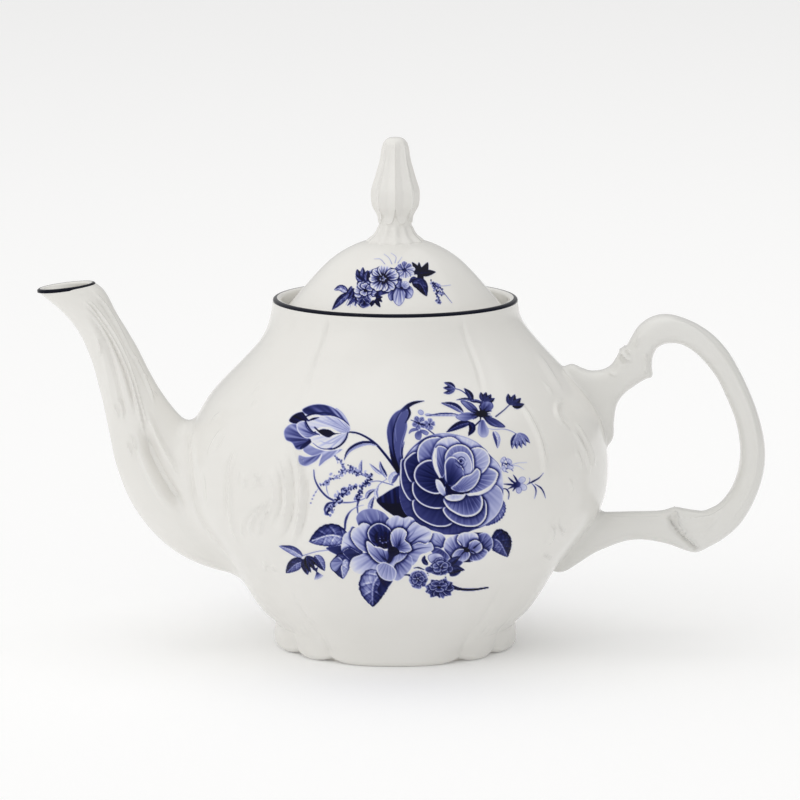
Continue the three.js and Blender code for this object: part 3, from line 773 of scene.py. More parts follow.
def build_seat():
    n = 192
    t = np.arange(n) / n * 2 * np.pi
    prof = [(37.85, 108.4), (37.85, 111.2), (36.0, 111.25), (33.0, 111.2), (31.4, 111.15), (31.0, 110.95), (30.8, 110.5),
            (30.8, 109.2), (31.0, 108.7), (31.5, 108.4), (34.0, 108.35)]
    P = np.array([[(r * math.cos(a), r * math.sin(a), z) for a in t] for r, z in prof])
    f = ring_faces(len(prof), n)
    last = (len(prof) - 1) * n
    j = np.arange(n)
    close = np.stack([last + j, last + (j + 1) % n, (j + 1) % n, j], -1)
    return make('lid_seat_ring', P.reshape(-1, 3), [f, close], M_SEAT, 'pot', replaces=['lid_seat'])


# ------------------------------------------------------------------ spout
SPOUT = np.array([
    [-119.6, 120.1, -100.2, 122.5, 8.1], [-117.4, 118.2, -98.3, 121.1, 8.1], [-114.5, 115.9, -96.7, 119.2, 8.0],
    [-111.4, 113.1, -95.2, 116.5, 7.9], [-108.4, 109.8, -93.4, 112.8, 7.8], [-105.6, 105.7, -91.2, 109.1, 7.8],
    [-103.2, 100.6, -88.7, 104.9, 8.0], [-101.2, 95.2, -86.1, 100.3, 8.3], [-99.6, 89.1, -83.5, 95.0, 8.7],
    [-98.1, 83.0, -80.6, 89.4, 9.3], [-96.8, 76.5, -77.5, 84.4, 10.1], [-95.5, 70.1, -74.5, 80.3, 11.0],
    [-94.2, 63.3, -71.7, 77.2, 12.0], [-92.4, 57.4, -68.8, 75.0, 13.0], [-90.1, 51.4, -65.8, 73.5, 14.0],
    [-86.5, 44.9, -62.8, 72.1, 15.0], [-81.1, 38.0, -59.8, 70.8, 16.0], [-74.1, 31.9, -56.8, 68.7, 16.8],
    [-64.7, 27.1, -52.5, 65.0, 17.4], [-54.0, 24.2, -48.0, 60.0, 17.6], [-42.0, 22.6, -42.0, 54.0, 17.2]])


def loft_points(stations, t, phi, n, shrink=0.0):
    """stations: sampled [x0, z0, x1, z1, w] rows; gives a (len(t), len(phi), 3) grid."""
    s = stations
    o = np.stack([s[:, 0], np.zeros(len(s)), s[:, 1]], -1)
    i = np.stack([s[:, 2], np.zeros(len(s)), s[:, 3]], -1)
    c, u = (o + i) / 2, (o - i) / 2
    l = np.linalg.norm(u, axis=1, keepdims=True)
    u = u * (l - shrink) / l
    w = s[:, 4] - shrink
    f = lambda v: np.sign(v) * np.abs(v) ** (2.0 / n)
    cp, sp = f(np.cos(phi)), f(np.sin(phi))
    return c[:, None, :] + u[:, None, :] * cp[None, :, None] + np.array([0, 1, 0])[None, None, :] * (w[:, None] * sp[None, :])[..., None]


def resample(stations, count, start=0.0, end=1.0, bias=None):
    mid = np.stack([(stations[:, 0] + stations[:, 2]) / 2, (stations[:, 1] + stations[:, 3]) / 2], -1)
    d = np.concatenate([[0], np.cumsum(np.linalg.norm(np.diff(mid, axis=0), axis=1))])
    d /= d[-1]
    q = np.linspace(start, end, count) if bias is None else bias
    return spline(d, stations, q), q


def root_blend(grid, k, rows, spread, body_lift=-0.06):
    """grid: (R, C, 3) of a limb from its free end into the body. Each generator is cut
    where it comes within k of the body, then carried over to lie tangent on it."""
    D = body_distance(grid)
    R, C = D.shape
    kk = np.broadcast_to(np.asarray(k, float), (C,))
    P0 = np.zeros((C, 3))
    P1 = np.zeros((C, 3))
    cutrow = np.zeros(C)
    for j in range(C):
        d = D[:, j]
        k = kk[j]
        i1 = np.nonzero(d < 0)[0]
        i1 = i1[0] if len(i1) else R - 1
        i0 = i1
        while i0 > 0 and d[i0] < k:
            i0 -= 1
        f0 = (d[i0] - k) / max(d[i0] - d[i0 + 1], 1e-6) if d[i0] > k else 0.0
        f0 = min(max(f0, 0), 1)
        P0[j] = grid[i0, j] * (1 - f0) + grid[i0 + 1, j] * f0
        cutrow[j] = i0 + f0
        f1 = d[i1 - 1] / max(d[i1 - 1] - d[i1], 1e-6)
        f1 = min(max(f1, 0), 1)
        P1[j] = grid[i1 - 1, j] * (1 - f1) + grid[i1, j] * f1
    _, n1 = onto_body(P1, 0.0)
    c = P1.mean(0)
    # outward on the body: across the limb's outline there
    tang = np.roll(P1, -1, 0) - np.roll(P1, 1, 0)
    out = np.cross(tang, n1)
    out /= np.maximum(np.linalg.norm(out, axis=1, keepdims=True), 1e-9)
    s = np.sign(((P1 - c) * out).sum(1).mean())
    out *= s
    P2 = P1 + out * np.broadcast_to(np.asarray(spread, float), (C,))[:, None]
    return P0, P1, P2, cutrow


def limb_rows(grid, cutrow, rows):
    """Resamples each generator from row 0 to its cut."""
    R, C, _ = grid.shape
    q = np.linspace(0, 1, rows)
    out = np.zeros((rows, C, 3))
    for j in range(C):
        x = q * cutrow[j]
        i = np.clip(x.astype(int), 0, R - 2)
        f = (x - i)[:, None]
        out[:, j] = grid[i, j] * (1 - f) + grid[i + 1, j] * f
    return out


def blend_rows(P0, P1, P2, k, rows, sink=0.06):
    u = np.linspace(0, 1, rows + 1)[1:]
    out = []
    for a in u:
        b = (1 - a) ** 2 * P0 + 2 * a * (1 - a) * P1 + a ** 2 * P2
        on, n = onto_body(b, k * (1 - a) ** 2 - sink * a)
        w = smooth01(a * 1.6)
        out.append(b * (1 - w) + on * w)
    return np.array(out), u


def build_spout():
    C, CI = 208, 52
    phi = np.arange(C) / C * 2 * np.pi
    st, _ = resample(SPOUT, 420)
    g = loft_points(st, None, phi, 2.12)
    k = 4.2 + 2.0 * np.sin(phi) ** 2       # the fillet is widest on the two sides
    P0, P1, P2, cut = root_blend(g, k, 14, 4.6 + 2.8 * np.sin(phi) ** 2)
    main = limb_rows(g, cut, 215)
    bl, u = blend_rows(P0, P1, P2, k, 16)
    P = np.concatenate([main, bl])
    nrm = grid_normals(P)
    mid = P.mean(1, keepdims=True)
    if ((P - mid) * nrm)[60:150].sum() < 0:
        nrm = -nrm
    h = 1.5 * strokes_height(elev(P.reshape(-1, 3)), RELIEF_SPOUT).reshape(P.shape[:2])
    fade = np.ones(len(P))
    fade[:10] = smooth01(np.arange(10) / 9.0)
    fade[len(main):] = 1 - smooth01(u * 1.05)
    P = P + nrm * (h * fade[:, None])[..., None]
    # lip: rounded over to the inside
    s0 = st[0:1]
    lip = []
    axis = np.array([-(s0[0, 3] - s0[0, 1]), 0, s0[0, 2] - s0[0, 0]])
    axis /= np.linalg.norm(axis)
    T = 2.3
    for a in np.linspace(0, math.pi, 10)[1:]:
        ring = loft_points(s0, None, phi, 2.12, shrink=T / 2 * (1 - math.cos(a)))[0]
        lip.append(ring + axis * 0.55 * math.sin(a))
    rows = np.concatenate([P[::-1], np.array(lip)])
    verts = [rows.reshape(-1, 3)]
    faces = [ring_faces(len(rows), C)]
    base = len(rows) * C
    # channel
    ci = np.arange(CI) / CI * 2 * np.pi
    si, _ = resample(SPOUT, 90, 0.004, 0.97)
    gi = loft_points(si, None, ci, 2.0, shrink=2.4)
    D = body_distance(gi)
    cut = np.array([(np.nonzero(D[:, j] < -0.3)[0][0] if (D[:, j] < -0.3).any() else len(gi) - 1) for j in range(CI)], float)
    inn = limb_rows(gi, cut, 60)
    verts.append(inn.reshape(-1, 3))
    faces.append(stitch(base - C, C, base, CI))
    faces.append(ring_faces(len(inn), CI, base))
    end = base + (len(inn) - 1) * CI
    faces.append(stitch(0, C, end, CI))
    ob = make('spout_shell', np.concatenate(verts), consistent(faces), M_SPOUT, 'pot', replaces=['spout'])
    # painted line: a film over the outer edge and top of the lip
    film = []
    for k2, a in enumerate(np.linspace(-0.25, 1.35, 11)):
        sh = T / 2 * (1 - math.cos(max(a, 0)))
        ring = loft_points(s0, None, phi, 2.12, shrink=sh - 0.05 * math.cos(a))[0]
        ring = ring + axis * (0.55 * math.sin(max(a, 0)) + 0.06 * max(math.sin(a), 0) - (0.5 if k2 == 0 else 0.0))
        film.append(ring)
    for k2, a in enumerate(np.linspace(1.35, -0.25, 11)):
        sh = T / 2 * (1 - math.cos(max(a, 0)))
        ring = loft_points(s0, None, phi, 2.12, shrink=sh + 0.08 * math.cos(a))[0]
        film.append(ring + axis * (0.55 * math.sin(max(a, 0)) - 0.08 - (0.5 if k2 == 10 else 0.0)))
    F = np.array(film)
    f = ring_faces(len(F), C)
    last = (len(F) - 1) * C
    j = np.arange(C)
    close = np.stack([last + j, last + (j + 1) % C, (j + 1) % C, j], -1)
    make('spout_lip_line', F.reshape(-1, 3), [f, close], M_LINE, 'pot', replaces=['spout_lip_band'])
    return ob


# ------------------------------------------------------------------ handle
HANDLE = np.array([
    [42.0, 83.5, 57.0, 58.0, 5.6], [48.0, 88.3, 64.0, 62.6, 5.7], [53.8, 92.5, 70.7, 67.1, 5.8], [58.7, 95.1, 73.1, 70.6, 5.8],
    [62.5, 93.8, 73.3, 75.7, 5.7], [65.3, 92.9, 74.1, 81.2, 5.6], [68.9, 93.1, 76.2, 84.8, 5.6], [71.9, 94.5, 80.2, 88.1, 5.8],
    [73.7, 96.9, 84.0, 90.4, 6.0], [75.6, 100.4, 86.0, 91.3, 6.2], [77.4, 101.4, 85.9, 94.5, 6.2], [79.0, 104.2, 86.1, 97.6, 6.2],
    [81.4, 107.9, 87.3, 100.5, 6.3], [84.9, 110.6, 89.0, 101.8, 6.4], [88.5, 111.8, 90.8, 102.4, 6.4], [92.1, 111.8, 92.7, 102.5, 6.4],
    [95.9, 110.8, 94.7, 102.3, 6.4], [100.8, 108.7, 97.3, 101.3, 6.3], [106.3, 105.0, 100.7, 98.9, 6.2], [111.2, 99.7, 104.4, 95.0, 6.1],
    [115.3, 92.9, 107.9, 90.2, 6.0], [118.9, 85.4, 111.1, 83.5, 6.0], [121.8, 77.5, 113.8, 76.8, 5.9], [123.6, 70.0, 115.3, 70.2, 5.9],
    [124.05, 64.4, 115.7, 64.2, 5.9], [123.6, 59.0, 115.0, 58.9, 5.9], [121.9, 52.6, 113.3, 53.8, 5.9], [119.0, 46.0, 111.0, 50.0, 5.9],
    [115.4, 40.6, 108.6, 47.4, 6.0], [110.6, 36.3, 105.8, 45.9, 6.0], [105.9, 33.5, 103.3, 45.1, 6.1], [101.3, 31.4, 100.3, 45.4, 6.2],
    [97.4, 32.1, 97.2, 45.9, 6.1], [92.6, 33.9, 94.0, 46.4, 5.9], [87.8, 35.1, 90.0, 45.3, 5.7], [81.8, 35.8, 84.2, 44.95, 5.6],
    [77.0, 35.2, 79.6, 44.9, 5.6], [71.6, 33.3, 75.8, 44.8, 5.8], [66.6, 31.0, 72.6, 44.75, 6.0], [61.4, 27.6, 70.0, 44.7, 6.3],
    [57.4, 25.1, 66.5, 44.2, 6.5], [54.4, 24.6, 62.0, 43.0, 6.5], [49.5, 26.4, 57.0, 41.5, 6.5], [42.0, 28.5, 50.0, 38.0, 6.5]])


def build_handle():
    C = 88
    phi = np.arange(C) / C * 2 * np.pi
    # chord length along the outer edge, so that its small steps keep their place
    pts = (HANDLE[:, 0:2] * 0.5 + HANDLE[:, 2:4] * 0.5)
    d = np.concatenate([[0], np.cumsum(np.maximum(np.linalg.norm(np.diff(pts, axis=0), axis=1), 1.2))])
    q = np.linspace(0, d[-1], 1200)
    st = np.stack([np.interp(q, d, HANDLE[:, k]) for k in range(5)], -1)
    cm = catmull(HANDLE, 30)
    dd = np.concatenate([[0], np.cumsum(np.maximum(np.linalg.norm(np.diff((cm[:, 0:2] + cm[:, 2:4]) / 2, axis=0), axis=1), 1e-3))])
    qq = np.linspace(0, dd[-1], 1300)
    st = np.stack([np.interp(qq, dd, cm[:, k]) for k in range(5)], -1)
    g = loft_points(st, None, phi, 2.75)
    half = 650
    k = 1.3
    up = g[:half][::-1]
    lo = g[half - 1:]
    A = root_blend(up, k, 8, 1.5)
    # the lower bar flows out of the body, but its leaf-shaped tip stands clear of it
    side = smooth01((0.92 - np.cos(phi)) / 1.3)
    kb, sb = 0.9 + 2.9 * side, 0.7 + 4.3 * side
    B = root_blend(lo, kb, 8, sb)
    mu = limb_rows(up, A[3], 230)
    ml = limb_rows(lo, B[3], 230)
    bu, uu = blend_rows(A[0], A[1], A[2], k, 8)
    blo, ul = blend_rows(B[0], B[1], B[2], kb, 14)
    P = np.concatenate([bu[::-1], mu[::-1], ml[1:], blo])
    nrm = grid_normals(P)
    mid = P.mean(1, keepdims=True)
    if ((P - mid) * nrm)[60:350].sum() < 0:
        nrm = -nrm
    h = 1.4 * strokes_height(elev(P.reshape(-1, 3)), RELIEF_HANDLE).reshape(P.shape[:2])
    fade = np.ones(len(P))
    fade[:8] = smooth01(np.arange(8) / 7.0)
    fade[-14:] = smooth01(np.arange(14)[::-1] / 13.0)
    side = np.clip(np.abs(nrm[..., 1]) * 1.6, 0, 1)
    P = P + nrm * (h * fade[:, None] * side)[..., None]
    verts = [P.reshape(-1, 3)]
    R = len(P)
    # plugs inside the body wall
    c0 = P[0].mean(0)
    c1 = P[-1].mean(0)
    in0, _ = onto_body(c0[None], -1.2)
    in1, _ = onto_body(c1[None], -1.2)
    verts.append(np.concatenate([in0, in1]))
    faces = [ring_faces(R, C), ring_fan(0, C, R * C), ring_fan((R - 1) * C, C, R * C + 1)]
    return make('handle_loop', np.concatenate(verts), consistent(faces), M_HANDLE_PAINTED_SHADE, 'pot', replaces=['handle'])


# ------------------------------------------------------------------ rim line
def build_rim_line():
    n = 480
    t = np.arange(n) / n * 2 * np.pi
    # a brushed line is never quite even
    wob = 0.10 * np.sin(3 * t + 0.7) + 0.07 * np.sin(7 * t + 2.1) + 0.05 * np.sin(13 * t + 0.2)
    prof = [(40.91, 116.62), (40.90, 117.0), (40.80, 117.35), (40.52, 117.63), (40.1, 117.79), (39.55, 117.84)]
    nr = [(1, 0), (1, 0.1), (0.9, 0.4), (0.6, 0.8), (0.25, 0.97), (0, 1)]
    rows = []
    for side in (0.05, -0.06):
        seq = range(len(prof)) if side > 0 else range(len(prof) - 1, -1, -1)
        for i in seq:
            r, z = prof[i]
            a, b = nr[i]
            zz = z + (wob if i == 0 else 0 * wob)
            off = side if 0 < i < len(prof) - 1 else side * 0.4
            rows.append(np.stack([(r + a * off) * np.cos(t), (r + a * off) * np.sin(t), zz + b * off + 0 * t], -1))
    P = np.array(rows)
    f = ring_faces(len(P), n)
    last = (len(P) - 1) * n
    j = np.arange(n)
    close = np.stack([last + j, last + (j + 1) % n, (j + 1) % n, j], -1)
    return make('rim_line', P.reshape(-1, 3), [f, close], M_LINE, 'pot', replaces=['rim_band'])


# ------------------------------------------------------------------ lid
DOME = np.array([
    [113.6, 36.6], [115.0, 35.7], [116.85, 34.15], [118.9, 32.4], [120.9, 30.65], [122.9, 28.9], [124.95, 27.1],
    [126.95, 25.25], [129.0, 23.2], [131.0, 20.95], [133.0, 18.1], [135.05, 14.4], [136.2, 11.6], [136.9, 9.0]])


def dome_curve(count):
    """Dome section from the edge to under the finial, evenly spaced: r, z."""
    p = DOME[:, ::-1]
    c = catmull(p, 12)
    for _ in range(30):
        c[1:-1] = 0.5 * c[1:-1] + 0.25 * (c[2:] + c[:-2])
    d = np.concatenate([[0], np.cumsum(np.linalg.norm(np.diff(c, axis=0), axis=1))])
    q = np.linspace(0, d[-1], count)
    return np.stack([np.interp(q, d, c[:, 0]), np.interp(q, d, c[:, 1])], -1)


_DC = dome_curve(400)


def dome_r(z):
    return np.interp(z, _DC[:, 1], _DC[:, 0])


def lathe_closed(profile, n):
    """Closed body of revolution whose profile starts and ends on the axis."""
    t = np.arange(n) / n * 2 * np.pi
    rows = [p for p in profile if p[0] > 1e-6]
    P = np.array([[(r * math.cos(a), r * math.sin(a), z) for a in t] for r, z in rows])
    verts = np.concatenate([P.reshape(-1, 3), [[0, 0, profile[0][1]]], [[0, 0, profile[-1][1]]]])
    m = len(rows) * n
    return verts, [ring_faces(len(rows), n), ring_fan(0, n, m), ring_fan(m - n, n, m + 1)]


VENT = ((0.0, 24.2, 126.0), (0.0, math.sin(0.75), math.cos(0.75)))      # centre and axis
STRAINER = [(0.0, 50.0)] + [(7 * math.cos(k * math.pi / 3), 50 + 7 * math.sin(k * math.pi / 3)) for k in range(6)]


def build_lid():
    out = [tuple(x) for x in dome_curve(70)]
    edge = [(31.2, 112.6), (31.2, 111.75), (31.5, 111.55), (33.5, 111.5), (35.9, 111.55), (36.5, 111.75), (36.82, 112.2), (36.9, 112.75), (36.82, 113.2)]
    inn = []
    p = dome_curve(60)
    tn = np.gradient(p, axis=0)
    tn /= np.linalg.norm(tn, axis=1, keepdims=True)
    off = p + 3.0 * np.stack([-np.abs(tn[:, 1]), -np.abs(tn[:, 0])], -1)
    for r, z in off:
        if r < 30.6 and z > 113.4:
            inn.append((r, z))
    inn = inn[::-1][0:]            # top to bottom
    prof = [(0, inn[0][1] + 0.15)] + inn + [(30.9, 113.4)] + edge + out + [(6.0, 137.15), (0, 137.2)]
    v, f = lathe_closed(prof, 288)
    dome = make('lid_dome_shell', v, consistent(f), M_LID, 'lid', replaces=['lid_dome'])
    drill(dome, [(VENT[0], VENT[1], 3.0, 14.0)])
    # collar
    n = 192
    t = np.arange(n) / n * 2 * np.pi
    cp = [(29.75, 113.3), (29.75, 105.0), (29.6, 104.2), (29.2, 103.75), (28.6, 103.62), (28.0, 103.7), (27.5, 104.1), (27.25, 104.8), (27.2, 113.3)]
    P = np.array([[(r * math.cos(a), r * math.sin(a), z) for a in t] for r, z in cp])
    f = ring_faces(len(cp), n)
    last = (len(cp) - 1) * n
    j = np.arange(n)
    close = np.stack([last + j, last + (j + 1) % n, (j + 1) % n, j], -1)
    make('lid_collar', P.reshape(-1, 3), [f, close], M_SEAT, 'lid', replaces=['lid_flange'])


KNOB = np.array([
    [136.6, 9.6], [137.2, 9.25], [138.0, 8.3], [139.0, 7.1], [140.6, 6.1], [143.0, 5.85], [145.0, 6.1], [147.0, 6.9],
    [149.0, 7.65], [151.0, 7.95], [153.7, 7.9], [155.8, 7.4], [158.4, 6.55], [161.1, 5.8], [163.1, 5.2], [165.1, 4.78],
    [167.1, 4.5], [168.8, 4.15], [170.1, 3.65], [170.9, 3.0], [171.4, 2.1], [171.6, 1.0]])


def build_knob():
    n, rows = 384, 210
    c = catmull(KNOB, 10)
    d = np.concatenate([[0], np.cumsum(np.linalg.norm(np.diff(c, axis=0), axis=1))])
    q = np.linspace(0, d[-1], rows)
    z = np.interp(q, d, c[:, 0])
    r = np.interp(q, d, c[:, 1])
    t = np.arange(n) / n * 2 * np.pi
    T, Z = np.meshgrid(t + np.pi / 2, z)
    R = np.repeat(r[:, None], n, 1)
    s8 = (T / (np.pi / 4)) % 1.0
    c = np.abs(2 * s8 - 1)                         # 1 on a ridge, 0 mid-flute; one ridge faces front
    on = smooth01((Z - 143.0) / 3.0) * smooth01((171.0 - Z) / 3.0)
    R = R * (1 - on * 0.125 * (1 - c ** 1.35))
    R = R + on * 0.20 * np.exp(-((1 - c) / 0.085) ** 2)
    # petals end in rounded tips over the stem, each one framed by the ridges
    zb = 142.6 + 5.2 * c ** 3.2
    over = smooth01((Z - zb) / 0.8)
    R = R + 0.42 * (over - 1.0) * smooth01((150.5 - Z) / 2.5) * smooth01((Z - 140.8) / 1.5)
    R = R + 0.16 * np.exp(-((Z - zb - 0.5) / 0.42) ** 2) * smooth01((Z - 141.2) / 1.0) * smooth01((149.5 - Z) / 2.0)
    # flutes of the flared base and its scalloped edge
    low = smooth01((143.4 - Z) / 2.0)
    R = R + low * (0.34 * np.cos(12 * T) + 0.12 * np.cos(6 * T)) * np.interp(Z, [136.6, 138, 141, 143], [1.2, 1.0, 0.8, 0.2])
    # petal edges gathered at the tip
    R = R + 0.10 * np.exp(-((Z - 169.2 - 0.45 * np.cos(8 * T)) / 0.45) ** 2)
    P = np.stack([R * np.cos(T - np.pi / 2), R * np.sin(T - np.pi / 2), Z], -1)
    # the base edge sits on the dome
    P[0, :, 2] = 136.55
    base = P[0].copy()
    base[:, 2] = 135.6
    P = np.concatenate([base[None], P])
    verts = np.concatenate([P.reshape(-1, 3), [[0, 0, 135.4]], [[0, 0, 171.65]]])
    m = len(P) * n
    f = [ring_faces(len(P), n), ring_fan(0, n, m), ring_fan(m - n, n, m + 1)]
    return make('lid_finial', verts, consistent(f), M_KNOB, 'lid', replaces=['lid_knob'])


# ------------------------------------------------------------------ printed bouquet
# A transfer print in one ink. It is drawn here as ink density (0 bare, 1 solid) on
# a fine grid in drawing units, back to front, and laid on the glaze as its own film.
class Canvas:
    def __init__(self, x0, y0, x1, y1, step):
        self.step = step
        self.x = np.arange(x0, x1 + step / 2, step)
        self.y = np.arange(y0, y1 + step / 2, step)
        self.X, self.Y = np.meshgrid(self.x, self.y)
        self.D = np.zeros(self.X.shape)
        self.M = np.zeros(self.X.shape)        # painted at all
        self.aa = step * 1.1
        self.rng = np.random.RandomState(7)
        self.vk = 1.0          # how strongly petals are hatched
        self.dk = 0.0          # how much darker their hearts are
        self.lk = 0.0          # how much ink their pale ends keep

    def cell(self, pts, pad):
        p = np.asarray(pts)
        i0 = max(int((p[:, 0].min() - pad - self.x[0]) / self.step), 0)
        i1 = min(int((p[:, 0].max() + pad - self.x[0]) / self.step) + 2, len(self.x))
        j0 = max(int((p[:, 1].min() - pad - self.y[0]) / self.step), 0)
        j1 = min(int((p[:, 1].max() + pad - self.y[0]) / self.step) + 2, len(self.y))
        return slice(j0, max(j1, j0)), slice(i0, max(i1, i0))

    def lay(self, sl, alpha, d, mark=None):
        self.D[sl] = self.D[sl] * (1 - alpha) + np.clip(d, 0, 1) * alpha
        self.M[sl] = np.maximum(self.M[sl], alpha)


def poly_sd(px, py, c):
    """Signed distance to a closed polygon, positive inside."""
    best = np.full(px.shape, 1e9)
    wind = np.zeros(px.shape, int)
    for (ax, ay), (bx, by) in zip(c, np.roll(c, -1, 0)):
        ex, ey = bx - ax, by - ay
        l2 = ex * ex + ey * ey + 1e-12
        t = np.clip(((px - ax) * ex + (py - ay) * ey) / l2, 0, 1)
        dx, dy = px - ax - t * ex, py - ay - t * ey
        best = np.minimum(best, dx * dx + dy * dy)
        s = ex * (py - ay) - ey * (px - ax)
        wind += ((ay <= py) & (by > py) & (s > 0)).astype(int) - ((ay > py) & (by <= py) & (s < 0)).astype(int)
    return np.where(wind != 0, 1.0, -1.0) * np.sqrt(best)


def path_coords(px, py, c):
    """Distance, side (+ to the right of travel on the drawing) and fraction along a path."""
    seg = np.diff(c, axis=0)
    ln = np.maximum(np.hypot(seg[:, 0], seg[:, 1]), 1e-9)
    cum = np.concatenate([[0], np.cumsum(ln)])
    best = np.full(px.shape, 1e9)
    side = np.zeros(px.shape)
    par = np.zeros(px.shape)
    for k in range(len(seg)):
        dx, dy = px - c[k, 0], py - c[k, 1]
        t = np.clip((dx * seg[k, 0] + dy * seg[k, 1]) / ln[k] ** 2, 0, 1)
        e = np.hypot(dx - t * seg[k, 0], dy - t * seg[k, 1])
        up = e < best
        best = np.where(up, e, best)
        side = np.where(up, np.sign(seg[k, 0] * dy - seg[k, 1] * dx), side)
        par = np.where(up, (cum[k] + t * ln[k]) / cum[-1], par)
    return best, side, par


def streaks(a, n, rng):
    """Smooth 1-D noise in a, about n waves to the unit, between -1 and 1."""
    s = 0
    for f, w in ((1.0, 0.55), (1.9, 0.45)):
        s = s + w * np.sin(2 * np.pi * (a * n * f + rng.rand()))
    return s


def petal(cv, pts, base, dark, light, rim=1.0, tone=0.0, power=1.0, vein=0.0, nv=5, shade=0.0, sw=4.0, turn=None, bias=0.0):
    """A petal: density runs from dark at its base to light at its far edge, with hatched
    veins, a bare rim, and a shadow on whatever is printed behind it."""
    c = catmull(pts, 5, True)
    sl = cv.cell(c, sw + 2)
    X, Y = cv.X[sl], cv.Y[sl]
    if not X.size:
        return
    sd = poly_sd(X, Y, c)
    if shade > 0:
        f = np.clip(1 + sd / sw, 0, 1) ** 1.6 * (sd < 0) * cv.M[sl]
        cv.D[sl] = cv.D[sl] + (np.maximum(shade, cv.D[sl]) - cv.D[sl]) * f
    bx, by = base
    r = np.hypot(X - bx, Y - by)
    rm = np.hypot(c[:, 0] - bx, c[:, 1] - by).max()
    u = np.clip(r / rm, 0, 1)
    # how far out along its own ray: 1 at the outer edge wherever that is
    edge = np.clip(sd, 0, None)
    u = np.clip(u / (u + edge / rm + 1e-6), 0, 1) * 0.55 + u * 0.45
    dark = dark + cv.dk
    light = light + cv.lk
    d = dark + (light - dark) * u ** power
    a = np.arctan2(Y - by, X - bx)
    if vein:
        d = d + cv.vk * vein * streaks(a / (2 * np.pi) * nv, 1.0, cv.rng) * np.sin(np.pi * np.clip(u, 0, 1)) ** 0.6
    if turn is not None:                       # darker to one side
        tx, ty, amt = turn
        q = ((X - c[:, 0].mean()) * tx + (Y - c[:, 1].mean()) * ty) / rm
        d = d + amt * q
    w = smooth01(1.25 * (1 - sd / max(rim * 1.45, 1e-6))) * smooth01((u - 0.42) / 0.25) if rim > 0 else 0
    d = d * (1 - w) + tone * w
    alpha = np.clip(sd / cv.aa + 0.5, 0, 1)
    cv.lay(sl, alpha, d)


def blob(cv, pts, dark, light=None, way=(0, 1), rim=0.0, tone=0.0, vein=0.0, shade=0.0, sw=3.0):
    """A patch whose density runs across it from dark to light along way."""
    c = catmull(pts, 5, True)
    sl = cv.cell(c, sw + 2)
    X, Y = cv.X[sl], cv.Y[sl]
    if not X.size:
        return
    sd = poly_sd(X, Y, c)
    if shade > 0:
        f = np.clip(1 + sd / sw, 0, 1) ** 1.6 * (sd < 0) * cv.M[sl]
        cv.D[sl] = cv.D[sl] + (np.maximum(shade, cv.D[sl]) - cv.D[sl]) * f
    light = dark if light is None else light
    w = np.array(way, float) / np.hypot(*way)
    q = c @ w
    u = np.clip(((X * w[0] + Y * w[1]) - q.min()) / (q.max() - q.min()), 0, 1)
    d = dark + (light - dark) * u
    if vein:
        d = d + vein * streaks((X * w[1] - Y * w[0]) / 9.0, 1.0, cv.rng)
    if rim > 0:
        k = smooth01(1 - sd / rim)
        d = d * (1 - k) + tone * k
    cv.lay(sl, np.clip(sd / cv.aa + 0.5, 0, 1), d)


def stroke(cv, pts, widths, tones, lat=0.0, core=None):
    c = catmull(pts, 6)
    hw = np.asarray(widths, float) / 2
    sl = cv.cell(c, hw.max() + 1)
    X, Y = cv.X[sl], cv.Y[sl]
    if not X.size:
        return
    dist, side, par = path_coords(X, Y, c)
    w = np.interp(par, np.linspace(0, 1, len(hw)), hw)
    d = np.interp(par, np.linspace(0, 1, len(tones)), tones)
    v = side * dist / np.maximum(w, 1e-3)
    d = d + lat * np.clip(v, -1, 1)
    if core is not None:
        d = d + core * np.clip(1 - np.abs(v) * 1.4, 0, 1)
    # thin lines keep their weight by going paler, not by dropping out
    aw = np.maximum(w, cv.aa * 0.5)
    alpha = np.clip((aw - dist) / cv.aa + 0.5, 0, 1) * np.clip(w / (cv.aa * 0.5), 0, 1) ** 0.7
    cv.lay(sl, alpha, d)


